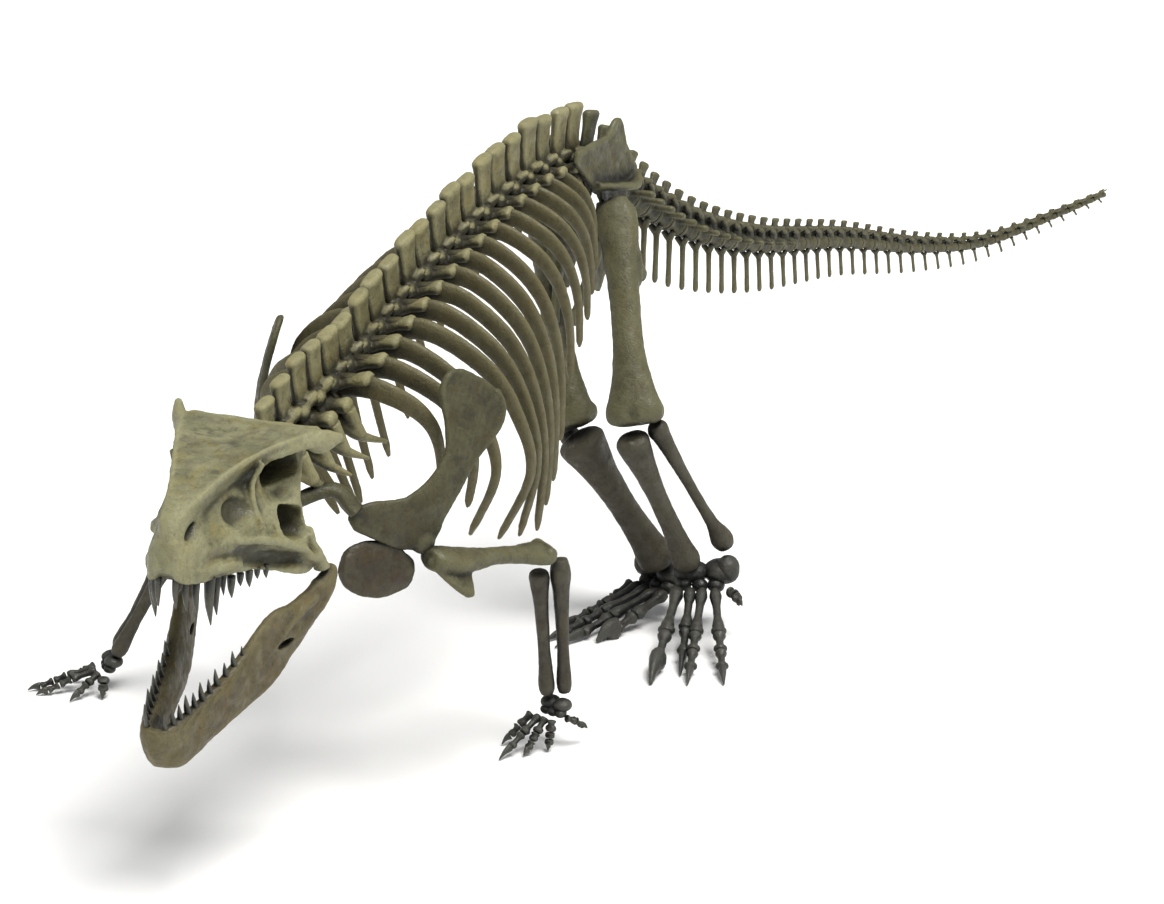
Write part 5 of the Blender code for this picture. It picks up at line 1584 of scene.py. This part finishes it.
@dataclass
class Jaw:
    """The lower jaw, hung open from its hinge, with its teeth."""

    head: Head
    skull: Skull
    length: float = 0.256
    open: float = 0.45
    hinge: tuple[float, float] = (0.010, -0.148)
    voxel: float = 0.0014
    # share of the length, half width of the jaw, top, bottom, half thickness
    stations: Knots = ((-0.07, 0.0770, -0.006, -0.022, 0.0060), (0.02, 0.0760, -0.003, -0.034, 0.0090),
                       (0.14, 0.0650, -0.006, -0.050, 0.0085), (0.22, 0.0590, -0.002, -0.058, 0.0080),
                       (0.30, 0.0535, 0.008, -0.064, 0.0080), (0.40, 0.0470, 0.007, -0.071, 0.0085),
                       (0.54, 0.0390, -0.003, -0.068, 0.0095), (0.72, 0.0290, -0.007, -0.060, 0.0098),
                       (0.87, 0.0200, -0.005, -0.060, 0.0098), (0.955, 0.0135, -0.003, -0.059, 0.0100),
                       (0.99, 0.0060, -0.004, -0.055, 0.0090))
    # share of the jaw, height above the gum, radius
    teeth: Knots = ((0.972, 0.020, 0.0036), (0.940, 0.022, 0.0040), (0.905, 0.020, 0.0040),
                    (0.865, 0.024, 0.0044), (0.825, 0.018, 0.0040), (0.780, 0.022, 0.0042),
                    (0.735, 0.016, 0.0038), (0.690, 0.020, 0.0040), (0.635, 0.016, 0.0038),
                    (0.580, 0.020, 0.0040), (0.525, 0.014, 0.0034))

    @property
    def axes(self) -> tuple[Vector, Vector]:
        """Forward and up of the opened jaw."""
        forward, _, up = self.head.axes
        return (forward * math.cos(self.open) - up * math.sin(self.open),
                up * math.cos(self.open) + forward * math.sin(self.open))

    def at(self, share: float, wide: float, high: float) -> Vector:
        """Give a place in the jaw.

        Args:
            share: Share of the jaw's length, from the hinge.
            wide: Distance to the left.
            high: Height over the hinge line.

        Returns:
            The place.
        """
        forward, up = self.axes
        drift = 0.007 - 0.011 * share * share
        middle = self.head.at(self.hinge[0], 0.0, self.hinge[1])
        return middle + forward * (share * self.length) + self.head.axes[1] * (wide + drift) + up * high

    def build(self, shop: Workshop) -> None:
        """Build the jaw and its teeth in the shop."""
        forward, up = self.axes
        rows = [tuple(row) for row in spline(self.stations, 3)]
        both = rows + [(row[0], -row[1], *row[2:]) for row in reversed(rows)]
        middles = [self.at(share, wide, (top + low) / 2) for share, wide, top, low, _ in both]
        rings = []
        for place, (_, _, top, low, thick) in zip(places_along(middles, up), both):
            across = place.along.cross(up).normalized()
            rings.append(oval(place.point, across, up, thick * 1.02, (top - low) / 2 * 1.02, 16, 0.75))
        clay = Clay()
        clay.loft(rings)
        cuts = Clay()
        for sign in BOTH_WAYS:
            for share, size in ((0.05, 0.0095), (0.02, 0.0090)):
                clay.ball(self.at(share, sign * profile(share, self.stations), -0.012), size)
            shelf = [self.at(share, sign * (profile(share, self.stations) + 0.0065), high)
                     for share, high in ((0.10, -0.014), (0.25, -0.016), (0.40, -0.024), (0.55, -0.034))]
            clay.rod(curve(shelf, 3), eased((0.0050, 0.0050, 0.0045, 0.0040)))
            keel = [self.at(share, sign * (profile(share, self.stations) + 0.001), high)
                    for share, high in ((0.26, -0.050), (0.42, -0.063), (0.70, -0.054), (0.92, -0.052))]
            clay.rod(curve(keel, 3), eased((0.0072, 0.0072, 0.0072, 0.0072)))
            slot_way = forward * 0.93 + up * 0.36
            cuts.loft([oval(self.at(0.315, sign * out, -0.034), slot_way, up, 0.014, 0.0042, 16)
                       for out in (0.038, 0.080)])
        bone = clay.fuse(self.voxel, 3, cuts=cuts, roughen=0.0009)
        shop.piece("jaw_bone", [bone], JAW_BONE, ["lower_jaw"], 14, 0.0022)
        row = Clay()
        for sign in BOTH_WAYS:
            for share, length, radius in self.teeth:
                gum = self.at(share, sign * profile(share, self.stations), -0.018)
                self.skull.tooth(row, gum, gum + up * (length + 0.012), radius, -forward)
        shop.piece("lower_teeth", [row.raw()], TOOTH, ["lower_jaw"], 3, 0.001)


# ---------------------------------------------------------------- limbs
Points = dict[Side, tuple[float, float, float]]

SHOULDER: Points = {Side.LEFT: (0.130, -0.690, 0.281), Side.RIGHT: (-0.134, -0.596, 0.280)}
BLADE_TOP: Points = {Side.LEFT: (0.152, -0.595, 0.462), Side.RIGHT: (-0.138, -0.522, 0.477)}
ELBOW: Points = {Side.LEFT: (0.185, -0.487, 0.233), Side.RIGHT: (-0.288, -0.520, 0.190)}
WRIST: Points = {Side.LEFT: (0.186, -0.477, 0.058), Side.RIGHT: (-0.363, -0.548, 0.044)}
HIP: Points = {Side.LEFT: (0.0432, -0.034, 0.531), Side.RIGHT: (-0.068, 0.024, 0.512)}
KNEE: Points = {Side.LEFT: (0.133, -0.150, 0.283), Side.RIGHT: (0.022, -0.101, 0.251)}
ANKLE: Points = {Side.LEFT: (0.178, -0.055, 0.085), Side.RIGHT: (0.103, -0.016, 0.062)}
CALF_SIDE: Points = {Side.LEFT: (0.62, 0.78, 0.0), Side.RIGHT: (-0.75, 0.66, 0.0)}
SHIN_SCALE = {Side.LEFT: 1.0, Side.RIGHT: 1.45}
CALF_SPREAD = {Side.LEFT: 0.040, Side.RIGHT: 0.024}
FOOT_ARCH = {Side.LEFT: 0.42, Side.RIGHT: 0.36}
# Joints beyond the knuckle of each digit, from the inmost.
DIGIT_JOINTS = (1, 1, 2, 2, 1)
FINGER_TIPS = {
    Side.LEFT: [(0.134, -0.512, 0.0), (0.152, -0.554, 0.0), (0.172, -0.532, 0.0), (0.190, -0.506, 0.0),
                (0.218, -0.460, 0.016)],
    Side.RIGHT: [(-0.356, -0.590, 0.0), (-0.386, -0.614, 0.0), (-0.434, -0.614, 0.0), (-0.452, -0.606, 0.0),
                 (-0.425, -0.560, 0.0)],
}
TOE_TIPS = {
    Side.LEFT: [(0.208, -0.266, 0.0), (0.229, -0.226, 0.0), (0.249, -0.250, 0.0), (0.288, -0.230, 0.0),
                (0.246, -0.078, 0.044)],
    Side.RIGHT: [(0.088, -0.164, 0.0), (0.050, -0.206, 0.0), (0.030, -0.190, 0.0), (0.024, -0.140, 0.0),
                 (0.040, -0.070, 0.0)],
}


@dataclass
class Girdle:
    """Scapula, coracoid and clavicle of one side."""

    side: Side
    voxel: float = 0.0016
    # share of the blade, half breadth, shift along the breadth, half thickness
    stations: Knots = ((-0.07, 0.030, -0.036, 0.0075), (-0.01, 0.050, -0.030, 0.0090),
                       (0.09, 0.048, -0.019, 0.0085), (0.20, 0.028, -0.002, 0.0070),
                       (0.38, 0.0200, 0.007, 0.0064), (0.55, 0.0205, 0.009, 0.0056),
                       (0.70, 0.033, 0.007, 0.0048), (0.82, 0.0445, 0.003, 0.0046),
                       (0.91, 0.0425, 0.001, 0.0044), (0.97, 0.032, -0.002, 0.0042),
                       (1.00, 0.016, -0.006, 0.0036))
    plate: Knots = ((-1.0, 0.35), (-0.85, 0.70), (-0.4, 0.98), (0.1, 1.0), (0.6, 0.80), (0.9, 0.55),
                    (1.0, 0.35))

    def __post_init__(self) -> None:
        """Work out the blade's own directions."""
        sign = self.side.sign
        self.socket = Vector(SHOULDER[self.side])
        self.base = self.socket + Vector((-sign * 0.018, 0.004, 0.016))
        top = Vector(BLADE_TOP[self.side])
        self.axis = (top - self.base).normalized()
        normal = Vector((sign * 0.82, -0.57, 0.0))
        self.normal = (normal - self.axis * normal.dot(self.axis)).normalized()
        broad = self.axis.cross(self.normal).normalized()
        self.broad = broad if broad.y > 0 else -broad
        self.reach = (top - self.base).length

    def spot(self, share: float, across: float, out: float = 0.0) -> Vector:
        """Give a place on the blade, by share of its height, across it and out from it."""
        bow = 0.016 * math.sin(math.pi * max(share, 0.0))
        middle = self.base + self.axis * (share * self.reach)
        return middle + self.broad * across + self.normal * (bow + out)

    def scapula(self, shop: Workshop) -> None:
        """Build the shoulder blade, thick along its rims and thin between them."""
        clay = Clay()
        rings = []
        rows = spline(self.stations, 3)
        for share, half, shift, thick in rows:
            rings.append(oval(self.spot(share, shift), self.broad, self.normal, half, thick, 20, 0.9))
        clay.loft(rings)
        for edge, radius in ((-1.0, 0.0042), (1.0, 0.0046)):
            rim = [self.spot(share, shift + edge * (half - radius * 0.9))
                   for share, half, shift, _ in rows[4:-3]]
            clay.rod(rim, [radius] * len(rim))
        ridge = [self.spot(share, shift, 0.003) for share, _, shift, _ in rows[3:19]]
        clay.rod(ridge, [blend(0.0060, 0.0030, i / (len(ridge) - 1)) for i in range(len(ridge))])
        clay.pebble(self.spot(0.03, 0.016, 0.002), (self.broad, self.normal, self.axis),
                    (0.014, 0.0115, 0.014))
        shop.sided("shoulder_blade", "scapula", self.side, [clay.fuse(self.voxel, 3, roughen=0.0008)],
                   GIRDLE_BONE)

    def coracoid(self, shop: Workshop) -> None:
        """Build the rounded plate below the blade."""
        sign = self.side.sign
        centre = self.base - self.axis * 0.0415 - self.broad * 0.021
        long_way = Vector((sign * 0.95, 0.30, -0.16)).normalized()
        long_way = (long_way - self.normal * long_way.dot(self.normal)).normalized()
        low_way = self.normal.cross(long_way)
        clay = Clay()
        rings = []
        for share, half in spline(self.plate, 3):
            rings.append(oval(centre + long_way * (share * 0.044), low_way, self.normal, half * 0.031,
                              0.0052 + 0.0030 * half, 20, 0.9))
        clay.loft(rings)
        rim = [centre + long_way * (0.0395 * math.cos(turn)) + low_way * (0.0265 * math.sin(turn))
               for turn in np.linspace(0.0, 2 * math.pi, 25)]
        for start in (0, 12):
            clay.rod(rim[start:start + 13], [0.0050] * 13)
        shop.sided("coracoid_plate", "coracoid", self.side, [clay.fuse(self.voxel, 3, roughen=0.0012)],
                   CORACOID_BONE)

    def clavicle(self, shop: Workshop) -> None:
        """Build the bar that arches inwards under the neck."""
        sign = self.side.sign
        start = self.base - self.broad * 0.074 + self.axis * 0.006 + self.normal * 0.004
        middle = Vector((sign * 0.056, -0.746, 0.364))
        end = Vector((sign * 0.016, -0.782, 0.350))
        path = curve([start, middle, end], 6)
        sizes = [(0.0085, 0.0140 - 0.0050 * i / (len(path) - 1)) for i in range(len(path))]
        clay = Clay()
        clay.tube(path, UP, sizes)
        shop.sided("clavicle_bar", "clavicle", self.side, [clay.fuse(0.0012, 2, roughen=0.0004)], GIRDLE_BONE)

    def build(self, shop: Workshop) -> None:
        """Build the girdle in the shop."""
        self.scapula(shop)
        self.coracoid(shop)
        self.clavicle(shop)


@dataclass
class LongBone:
    """A bone between two joints.

    Each station is (share of the length, half width across, half depth fore and aft), with (shift across,
    shift to the front) where the shaft bends; each lump is (share, across, front, radius across, radius fore
    and aft, radius along).
    """

    start: Vector
    end: Vector
    front: Vector
    stations: Knots
    lumps: Knots = ()
    trim: float = 0.0

    def __post_init__(self) -> None:
        """Work out the bone's own directions."""
        self.axis = (self.end - self.start).normalized()
        self.ahead = (self.front - self.axis * self.front.dot(self.axis)).normalized()
        self.across = self.axis.cross(self.ahead)
        self.first = self.start + self.axis * self.trim
        self.last = self.end - self.axis * self.trim

    def spot(self, share: float, across: float = 0.0, front: float = 0.0) -> Vector:
        """Give a place in the bone: share of its length, and distances across and to the front."""
        return self.first.lerp(self.last, share) + self.across * across + self.ahead * front

    def clay(self) -> Clay:
        """Give the shaft with its lumps, not yet fused."""
        clay = Clay()
        rings = []
        full = [(*row, 0.0, 0.0)[:5] for row in self.stations]
        for share, wide, deep, shift, fore in spline(full, 3):
            rings.append(oval(self.spot(share, shift, fore), self.across, self.ahead, wide, deep, 18, 0.92))
        clay.loft(rings)
        for share, across, front, wide, deep, tall in self.lumps:
            clay.pebble(self.spot(share, across, front), (self.across, self.ahead, self.axis),
                        (wide, deep, tall))
        return clay


FEMUR_STATIONS = ((0.0, 0.015, 0.013, 0.002, 0.0), (0.03, 0.024, 0.017, 0.003, 0.0),
                  (0.10, 0.0265, 0.018, 0.003, 0.0), (0.22, 0.0235, 0.018, 0.001, 0.002),
                  (0.45, 0.019, 0.0165, 0.0, 0.004), (0.68, 0.020, 0.017, 0.0, 0.004),
                  (0.84, 0.0275, 0.020, 0.0, 0.001), (0.93, 0.0355, 0.0215), (0.98, 0.034, 0.019),
                  (1.00, 0.024, 0.013))
FEMUR_LUMPS = ((0.945, 0.0205, -0.004, 0.0155, 0.0205, 0.015),
               (0.945, -0.0205, -0.004, 0.0155, 0.0205, 0.0155),
               (0.29, -0.015, -0.006, 0.009, 0.0105, 0.030), (0.10, 0.014, 0.004, 0.0095, 0.011, 0.018))
TIBIA_STATIONS = ((0.0, 0.013, 0.012), (0.03, 0.021, 0.020), (0.12, 0.019, 0.018), (0.30, 0.014, 0.0135),
                  (0.55, 0.012, 0.0115), (0.80, 0.014, 0.013), (0.94, 0.018, 0.016), (1.00, 0.014, 0.012))
FIBULA_STATIONS = ((0.0, 0.009, 0.009), (0.04, 0.0135, 0.0135), (0.14, 0.0105, 0.011),
                   (0.45, 0.007, 0.0072, 0.0, 0.003), (0.78, 0.0078, 0.008, 0.0, 0.002),
                   (0.93, 0.0145, 0.014), (1.00, 0.011, 0.010))
HUMERUS_STATIONS = ((0.0, 0.012, 0.010), (0.04, 0.0195, 0.013), (0.16, 0.0225, 0.012, 0.004, 0.0),
                    (0.34, 0.016, 0.011, 0.004, 0.0), (0.55, 0.0098, 0.0098), (0.74, 0.012, 0.010),
                    (0.90, 0.0185, 0.0115), (0.97, 0.018, 0.011), (1.00, 0.012, 0.007))
HUMERUS_LUMPS = ((0.945, 0.0105, 0.002, 0.0085, 0.0105, 0.0095),
                 (0.945, -0.0105, 0.002, 0.0085, 0.0105, 0.0095))
RADIUS_STATIONS = ((0.0, 0.008, 0.008), (0.05, 0.0122, 0.012), (0.25, 0.0088, 0.0086),
                   (0.65, 0.0072, 0.0072), (0.92, 0.0098, 0.0096), (1.00, 0.007, 0.007))
ULNA_STATIONS = ((-0.06, 0.0075, 0.0085), (0.05, 0.014, 0.0122), (0.22, 0.011, 0.0092),
                 (0.65, 0.007, 0.0068), (0.92, 0.0095, 0.009), (1.00, 0.0065, 0.0065))


@dataclass
class Digits:
    """Five fingers or toes that fan out from a wrist or ankle to their tips on the floor."""

    name: str
    side: Side
    wrist: Vector
    spread: Vector
    tips: Sequence[tuple[float, float, float]]
    radius: float
    root_reach: float
    knuckle_share: float
    knuckle_height: float
    joints: tuple[int, ...]
    big_claw: float
    voxel: float
    joint_gap: float = 0.0006

    def short_bone(self, start: Vector, end: Vector, first: float, last: float) -> bpy.types.Mesh:
        """Give one waisted bone of a digit, with two knobs at its far end.

        Args:
            start: Joint nearer the palm or sole.
            end: Joint nearer the tip.
            first: Radius at the start.
            last: Radius at the end.

        Returns:
            The finished bone.
        """
        lean = (end - start).normalized()
        gap = self.joint_gap
        path = [start + lean * gap, start.lerp(end, 0.14), start.lerp(end, 0.34), start.lerp(end, 0.62),
                start.lerp(end, 0.84), end - lean * gap]
        waist = min(first, last) * 0.62
        clay = Clay()
        clay.rod(path, [first * 0.80, first * 1.02, waist * 1.08, waist, last * 0.95, last * 0.78], 12)
        across = lean.cross(UP).normalized()
        for sign in BOTH_WAYS:
            clay.ball(end - lean * last * 0.75 + across * (sign * last * 0.48) - UP * last * 0.05,
                      last * 0.68)
        return clay.fuse(self.voxel, 1, roughen=0.0003)

    def claw(self, start: Vector, tip: Vector, radius: float, size: float) -> bpy.types.Mesh:
        """Give the last bone of a digit, a hooked claw.

        Args:
            start: Joint behind the claw.
            tip: Tip of the digit on the floor.
            radius: Radius of the digit.
            size: 1 for a claw as thick as its digit, more for a stouter one.

        Returns:
            The finished bone.
        """
        arch = start.lerp(tip, 0.5) + UP * (radius * 0.55 * size)
        path = curve([start, arch, tip + UP * (radius * 0.28)], 4)
        falls = [(i / (len(path) - 1)) ** 1.3 for i in range(len(path))]
        clay = Clay()
        clay.tube(path, RIGHTWARD, [(radius * size * blend(1.0, 0.16, fall) * 0.80,
                                     radius * size * blend(1.15, 0.20, fall)) for fall in falls])
        return clay.fuse(self.voxel, 1, roughen=0.0002)

    def digit(self, number: int) -> list[bpy.types.Mesh]:
        """Give the bones of one digit, from the palm or sole to the claw.

        Args:
            number: 1 for the thumb or great toe, to 5 for the outermost.

        Returns:
            The finished bones.
        """
        tip = Vector(self.tips[number - 1])
        root = self.wrist + self.spread * (number - 3)
        flat = tip - root
        flat.z = 0.0
        root = root + flat.normalized() * self.root_reach
        size = self.radius * (1.10 if number == 1 else 0.88 if number == 5 else 1.0)
        knuckle = root.lerp(tip, self.knuckle_share)
        knuckle.z = blend(root.z, tip.z, 1.0 - self.knuckle_height) + self.radius
        joints = self.joints[number - 1]
        stops = [root, knuckle]
        radii = [size * 1.22, size * 1.28]
        for k in range(1, joints + 1):
            share = k / (joints + 1)
            radii.append(size * blend(1.20, 1.02, share))
            stop = knuckle.lerp(tip, share)
            stops.append(Vector((stop.x, stop.y, max(stop.z, radii[-1] * 0.85))))
        bones = [self.short_bone(a, b, first, last)
                 for a, b, first, last in zip(stops, stops[1:], radii, radii[1:])]
        claw_size = self.big_claw if number == 1 else 1.0
        bones.append(self.claw(stops[-1], tip, size, claw_size))
        return bones

    def build(self, shop: Workshop) -> None:
        """Build the five digits in the shop."""
        for number in range(1, len(self.tips) + 1):
            node = f"{self.name}_{self.side.value}_{number}"
            shop.piece(node + "_bones", self.digit(number), FOOT_BONE, [node], 6, 0.0012)


@dataclass
class HindLeg:
    """Femur, tibia, fibula, ankle bones and toes of one side."""

    side: Side

    def build(self, shop: Workshop) -> None:
        """Build the leg in the shop."""
        side, sign = self.side, self.side.sign
        hip = Vector(HIP[side]) + Vector((sign * 0.010, 0, 0))
        knee, ankle = Vector(KNEE[side]), Vector(ANKLE[side])
        front = Vector((sign * 0.25, -1.0, 0.15))
        thigh = LongBone(hip, knee, front, FEMUR_STATIONS, FEMUR_LUMPS, trim=0.002)
        clay = thigh.clay()
        clay.tube([hip + Vector((sign * 0.0010, 0, 0.004)), hip + Vector((sign * 0.004, -0.004, -0.010))], UP,
                  [(0.012, 0.011), (0.018, 0.015)], 14)
        notch = Clay()
        notch.rod([thigh.spot(0.90, 0.0, 0.036), thigh.spot(1.03, 0.0, 0.024)], [0.0110, 0.0150], 16)
        notch.rod([thigh.spot(0.88, 0.0, -0.036), thigh.spot(1.03, 0.0, -0.026)], [0.0120, 0.0150], 16)
        shop.sided("thigh_bone", "femur", side, [clay.fuse(0.0018, 3, cuts=notch, roughen=0.0008)], LIMB_BONE)
        shin = (ankle - knee).normalized()
        outside = Vector(CALF_SIDE[side])
        outside = (outside - shin * outside.dot(shin)).normalized()
        stout = SHIN_SCALE[side]
        shaft = [(share, wide * stout, deep * stout) for share, wide, deep in TIBIA_STATIONS]
        crest = (0.10, 0.0, 0.012 * stout, 0.007, 0.008, 0.024)
        tibia = LongBone(knee + shin * 0.0085 - outside * 0.012, ankle - shin * 0.002 - outside * 0.014,
                         front, shaft, (crest,), trim=0.001)
        shop.sided("shin_bone", "tibia", side, [tibia.clay().fuse(0.0017, 3, roughen=0.0007)], SHIN_BONE)
        fibula = LongBone(knee + shin * 0.012 + outside * 0.0225 * stout,
                          ankle + shin * 0.002 + outside * CALF_SPREAD[side], front, FIBULA_STATIONS,
                          trim=0.001)
        shop.sided("calf_bone", "fibula", side, [fibula.clay().fuse(0.0014, 3, roughen=0.0005)], SHIN_BONE)
        self.foot(shop)

    def foot(self, shop: Workshop) -> None:
        """Build the ankle bones and the toes."""
        side = self.side
        ankle = Vector(ANKLE[side])
        tips = TOE_TIPS[side]
        ahead = Vector((tips[2][0] - ankle.x, tips[2][1] - ankle.y, 0)).normalized()
        across = Vector((-ahead.y, ahead.x, 0)) * side.sign
        shin = (ankle - Vector(KNEE[side])).normalized()
        centre = ankle + shin * 0.015
        lumps = []
        for shift, radii in ((-across * 0.0160, (0.0235, 0.0195, 0.0145)),
                             (across * 0.0210 - ahead * 0.004, (0.0225, 0.0240, 0.0155)),
                             (across * 0.0300 + ahead * 0.002 + UP * 0.005, (0.0150, 0.0170, 0.0185)),
                             (across * -0.024 + ahead * 0.013 - UP * 0.012, (0.0105, 0.0115, 0.0095)),
                             (across * -0.004 + ahead * 0.014 - UP * 0.013, (0.0105, 0.0110, 0.0092)),
                             (across * 0.016 + ahead * 0.013 - UP * 0.013, (0.0110, 0.0110, 0.0095))):
            clay = Clay()
            clay.pebble(centre + shift, (across, ahead, UP), radii)
            lumps.append(clay.fuse(0.0012, 2, roughen=0.0010))
        shop.sided("ankle_bones", "ankle", side, lumps, FOOT_BONE, 8, 0.0014)
        root = centre + ahead * 0.020 - UP * 0.016
        Digits("toe", side, root, across * 0.0150, tips, radius=0.0066, root_reach=0.006, knuckle_share=0.46,
               knuckle_height=FOOT_ARCH[side], joints=DIGIT_JOINTS, big_claw=1.9, voxel=0.0012).build(shop)


@dataclass
class ForeLeg:
    """Humerus, radius, ulna, wrist bones and fingers of one side."""

    side: Side
    # the humerus crest: place along the arm, drop below it, half length and half thickness
    crest: Knots = ((0.0335, 0.000, 0.0335, 0.0080), (0.0350, 0.014, 0.0290, 0.0066),
                    (0.0375, 0.028, 0.0210, 0.0056), (0.0435, 0.042, 0.0100, 0.0048),
                    (0.0455, 0.047, 0.0040, 0.0036))

    def build(self, shop: Workshop) -> None:
        """Build the leg in the shop."""
        side, sign = self.side, self.side.sign
        shoulder = Vector(SHOULDER[side]) + Vector((sign * 0.006, 0.004, -0.002))
        elbow, wrist = Vector(ELBOW[side]), Vector(WRIST[side])
        arm = (elbow - shoulder).normalized()
        front = Vector((sign * 0.2, -0.3, 1.0))
        ahead = (front - arm * front.dot(arm)).normalized()
        across = arm.cross(ahead)
        low = across if across.z < 0 else -across
        low = (low * 0.55 + Vector((sign * 0.25, -0.30, -0.85))).normalized()
        low = (low - arm * low.dot(arm)).normalized()
        upper = LongBone(shoulder, elbow, ahead, HUMERUS_STATIONS, HUMERUS_LUMPS, trim=0.004)
        clay = upper.clay()
        rings = []
        for along, drop, half, thick in spline(self.crest, 3):
            center = shoulder + arm * along + low * drop
            rings.append(oval(center, arm, low.cross(arm), half, thick, 14, 0.85))
        clay.loft(rings)
        shop.sided("upper_arm", "humerus", side, [clay.fuse(0.0015, 3, roughen=0.0007)], LIMB_BONE)
        shin = (wrist - elbow).normalized()
        inside = Vector((-0.80, -0.60, 0.0)) if side is Side.LEFT else Vector((0.55, -0.80, 0.0))
        inside = (inside - shin * inside.dot(shin)).normalized()
        radius = LongBone(elbow + shin * 0.020 + inside * 0.0145, wrist - shin * 0.003 + inside * 0.010,
                          inside, RADIUS_STATIONS)
        shop.sided("radius_bone", "radius", side, [radius.clay().fuse(0.0012, 3, roughen=0.0005)], SHIN_BONE)
        ulna = LongBone(elbow + shin * 0.018 - inside * 0.010, wrist - shin * 0.003 - inside * 0.010, inside,
                        ULNA_STATIONS)
        shop.sided("ulna_bone", "ulna", side, [ulna.clay().fuse(0.0012, 3, roughen=0.0005)], SHIN_BONE)
        self.hand(shop)

    def hand(self, shop: Workshop) -> None:
        """Build the wrist bones and the fingers."""
        side = self.side
        wrist = Vector(WRIST[side])
        tips = FINGER_TIPS[side]
        ahead = Vector((tips[2][0] - wrist.x, tips[2][1] - wrist.y, 0)).normalized()
        across = Vector((-ahead.y, ahead.x, 0)) * side.sign
        shin = (wrist - Vector(ELBOW[side])).normalized()
        centre = wrist + shin * 0.0095
        lumps = []
        for shift, radii in ((-across * 0.0085, (0.0120, 0.0115, 0.0080)),
                             (across * 0.0095, (0.0110, 0.0115, 0.0080)),
                             (-across * 0.010 + ahead * 0.005 - UP * 0.008, (0.0075, 0.0075, 0.0058)),
                             (across * 0.001 + ahead * 0.006 - UP * 0.008, (0.0070, 0.0075, 0.0058)),
                             (across * 0.011 + ahead * 0.005 - UP * 0.008, (0.0070, 0.0075, 0.0056))):
            clay = Clay()
            clay.pebble(centre + shift, (across, ahead, UP), radii)
            lumps.append(clay.fuse(0.0010, 2, roughen=0.0006))
        shop.sided("wrist_bones", "wrist", side, lumps, FOOT_BONE, 8, 0.0012)
        root = centre + ahead * 0.012 - UP * 0.012
        Digits("finger", side, root, across * 0.0085, tips, radius=0.0046, root_reach=0.007,
               knuckle_share=0.42, knuckle_height=0.50, joints=DIGIT_JOINTS, big_claw=1.0,
               voxel=0.0009).build(shop)


# ---------------------------------------------------------------- studio
@dataclass(frozen=True)
class Studio:
    """A pale floor, soft light from above, and a camera low in front of the animal's left side."""

    camera_place: Vector = field(default_factory=lambda: Vector((1.741, -3.628, 1.435)) + MODEL_SHIFT)
    yaw: float = -0.45
    pitch: float = 0.30
    lens: float = 102.25
    sensor: float = 36.0
    floor_size: float = 60.0
    sun_strength: float = 3.9
    sun_spread: float = math.radians(34.0)
    sun_heading: Vector = field(default_factory=lambda: Vector((-0.36, 0.12, -0.95)))
    sky_strength: float = 0.40
    floor_drop: float = 0.0006

    def floor(self) -> None:
        """Lay the floor."""
        work = bmesh.new()
        bmesh.ops.create_grid(work, x_segments=2, y_segments=2, size=self.floor_size / 2)
        mesh = bpy.data.meshes.new("studio_floor")
        work.to_mesh(mesh)
        work.free()
        mesh.transform(Matrix.Translation((0, 0, -self.floor_drop)))
        paint = bpy.data.materials.new("pale_floor")
        paint.use_nodes = True
        shader = paint.node_tree.nodes["Principled BSDF"]
        shader.inputs["Base Color"].default_value = (0.90, 0.90, 0.90, 1.0)
        shader.inputs["Roughness"].default_value = 0.9
        shader.inputs["Specular IOR Level"].default_value = 0.1
        mesh.materials.append(paint)
        floor = bpy.data.objects.new("studio_floor", mesh)
        bpy.context.scene.collection.objects.link(floor)
        floor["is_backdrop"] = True

    def light(self) -> None:
        """Hang one broad soft light, and set an even sky."""
        sun = bpy.data.lights.new("soft_sun", "SUN")
        sun.energy = self.sun_strength
        sun.angle = self.sun_spread
        sun.color = (1.0, 0.985, 0.955)
        holder = bpy.data.objects.new("soft_sun", sun)
        holder.rotation_euler = self.sun_heading.to_track_quat("-Z", "Y").to_euler()
        bpy.context.scene.collection.objects.link(holder)
        world = bpy.data.worlds.new("studio_sky")
        world.use_nodes = True
        world.node_tree.nodes["Background"].inputs["Color"].default_value = (0.97, 0.985, 1.0, 1.0)
        world.node_tree.nodes["Background"].inputs["Strength"].default_value = self.sky_strength
        bpy.context.scene.world = world
        bpy.context.scene.view_settings.view_transform = "Standard"

    def camera(self) -> None:
        """Set up the camera."""
        lens = bpy.data.cameras.new("camera")
        lens.lens = self.lens
        lens.sensor_width = self.sensor
        lens.sensor_fit = "HORIZONTAL"
        lens.clip_end = self.floor_size
        holder = bpy.data.objects.new("camera", lens)
        holder.location = self.camera_place
        look = Vector((math.sin(self.yaw) * math.cos(self.pitch), math.cos(self.yaw) * math.cos(self.pitch),
                       -math.sin(self.pitch)))
        holder.rotation_euler = look.to_track_quat("-Z", "Y").to_euler()
        bpy.context.scene.collection.objects.link(holder)
        bpy.context.scene.camera = holder

    def build(self) -> None:
        """Build the studio."""
        self.camera()
        self.floor()
        self.light()


def main() -> None:
    """Build the skeleton over its frame."""
    logging.basicConfig(level=logging.INFO, format="%(message)s")
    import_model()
    frame_box = [list(corner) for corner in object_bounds()]
    Studio().build()
    shop = Workshop(frame_box)
    head = Head()
    skull = Skull(head)
    skull.build(shop)
    Jaw(head, skull).build(shop)
    Neck().build(shop)
    Chest().build(shop)
    Hips().build(shop)
    Tail().build(shop)
    for side in Side:
        Girdle(side).build(shop)
        ForeLeg(side).build(shop)
        HindLeg(side).build(shop)
    # Painted shade: store where crevices are, so the finishes paint them darker.
    shop.mark_crevice_shade()
    LOG.info("whole skeleton: %d triangles", shop.faces)


if __name__ == "__main__":
    main()
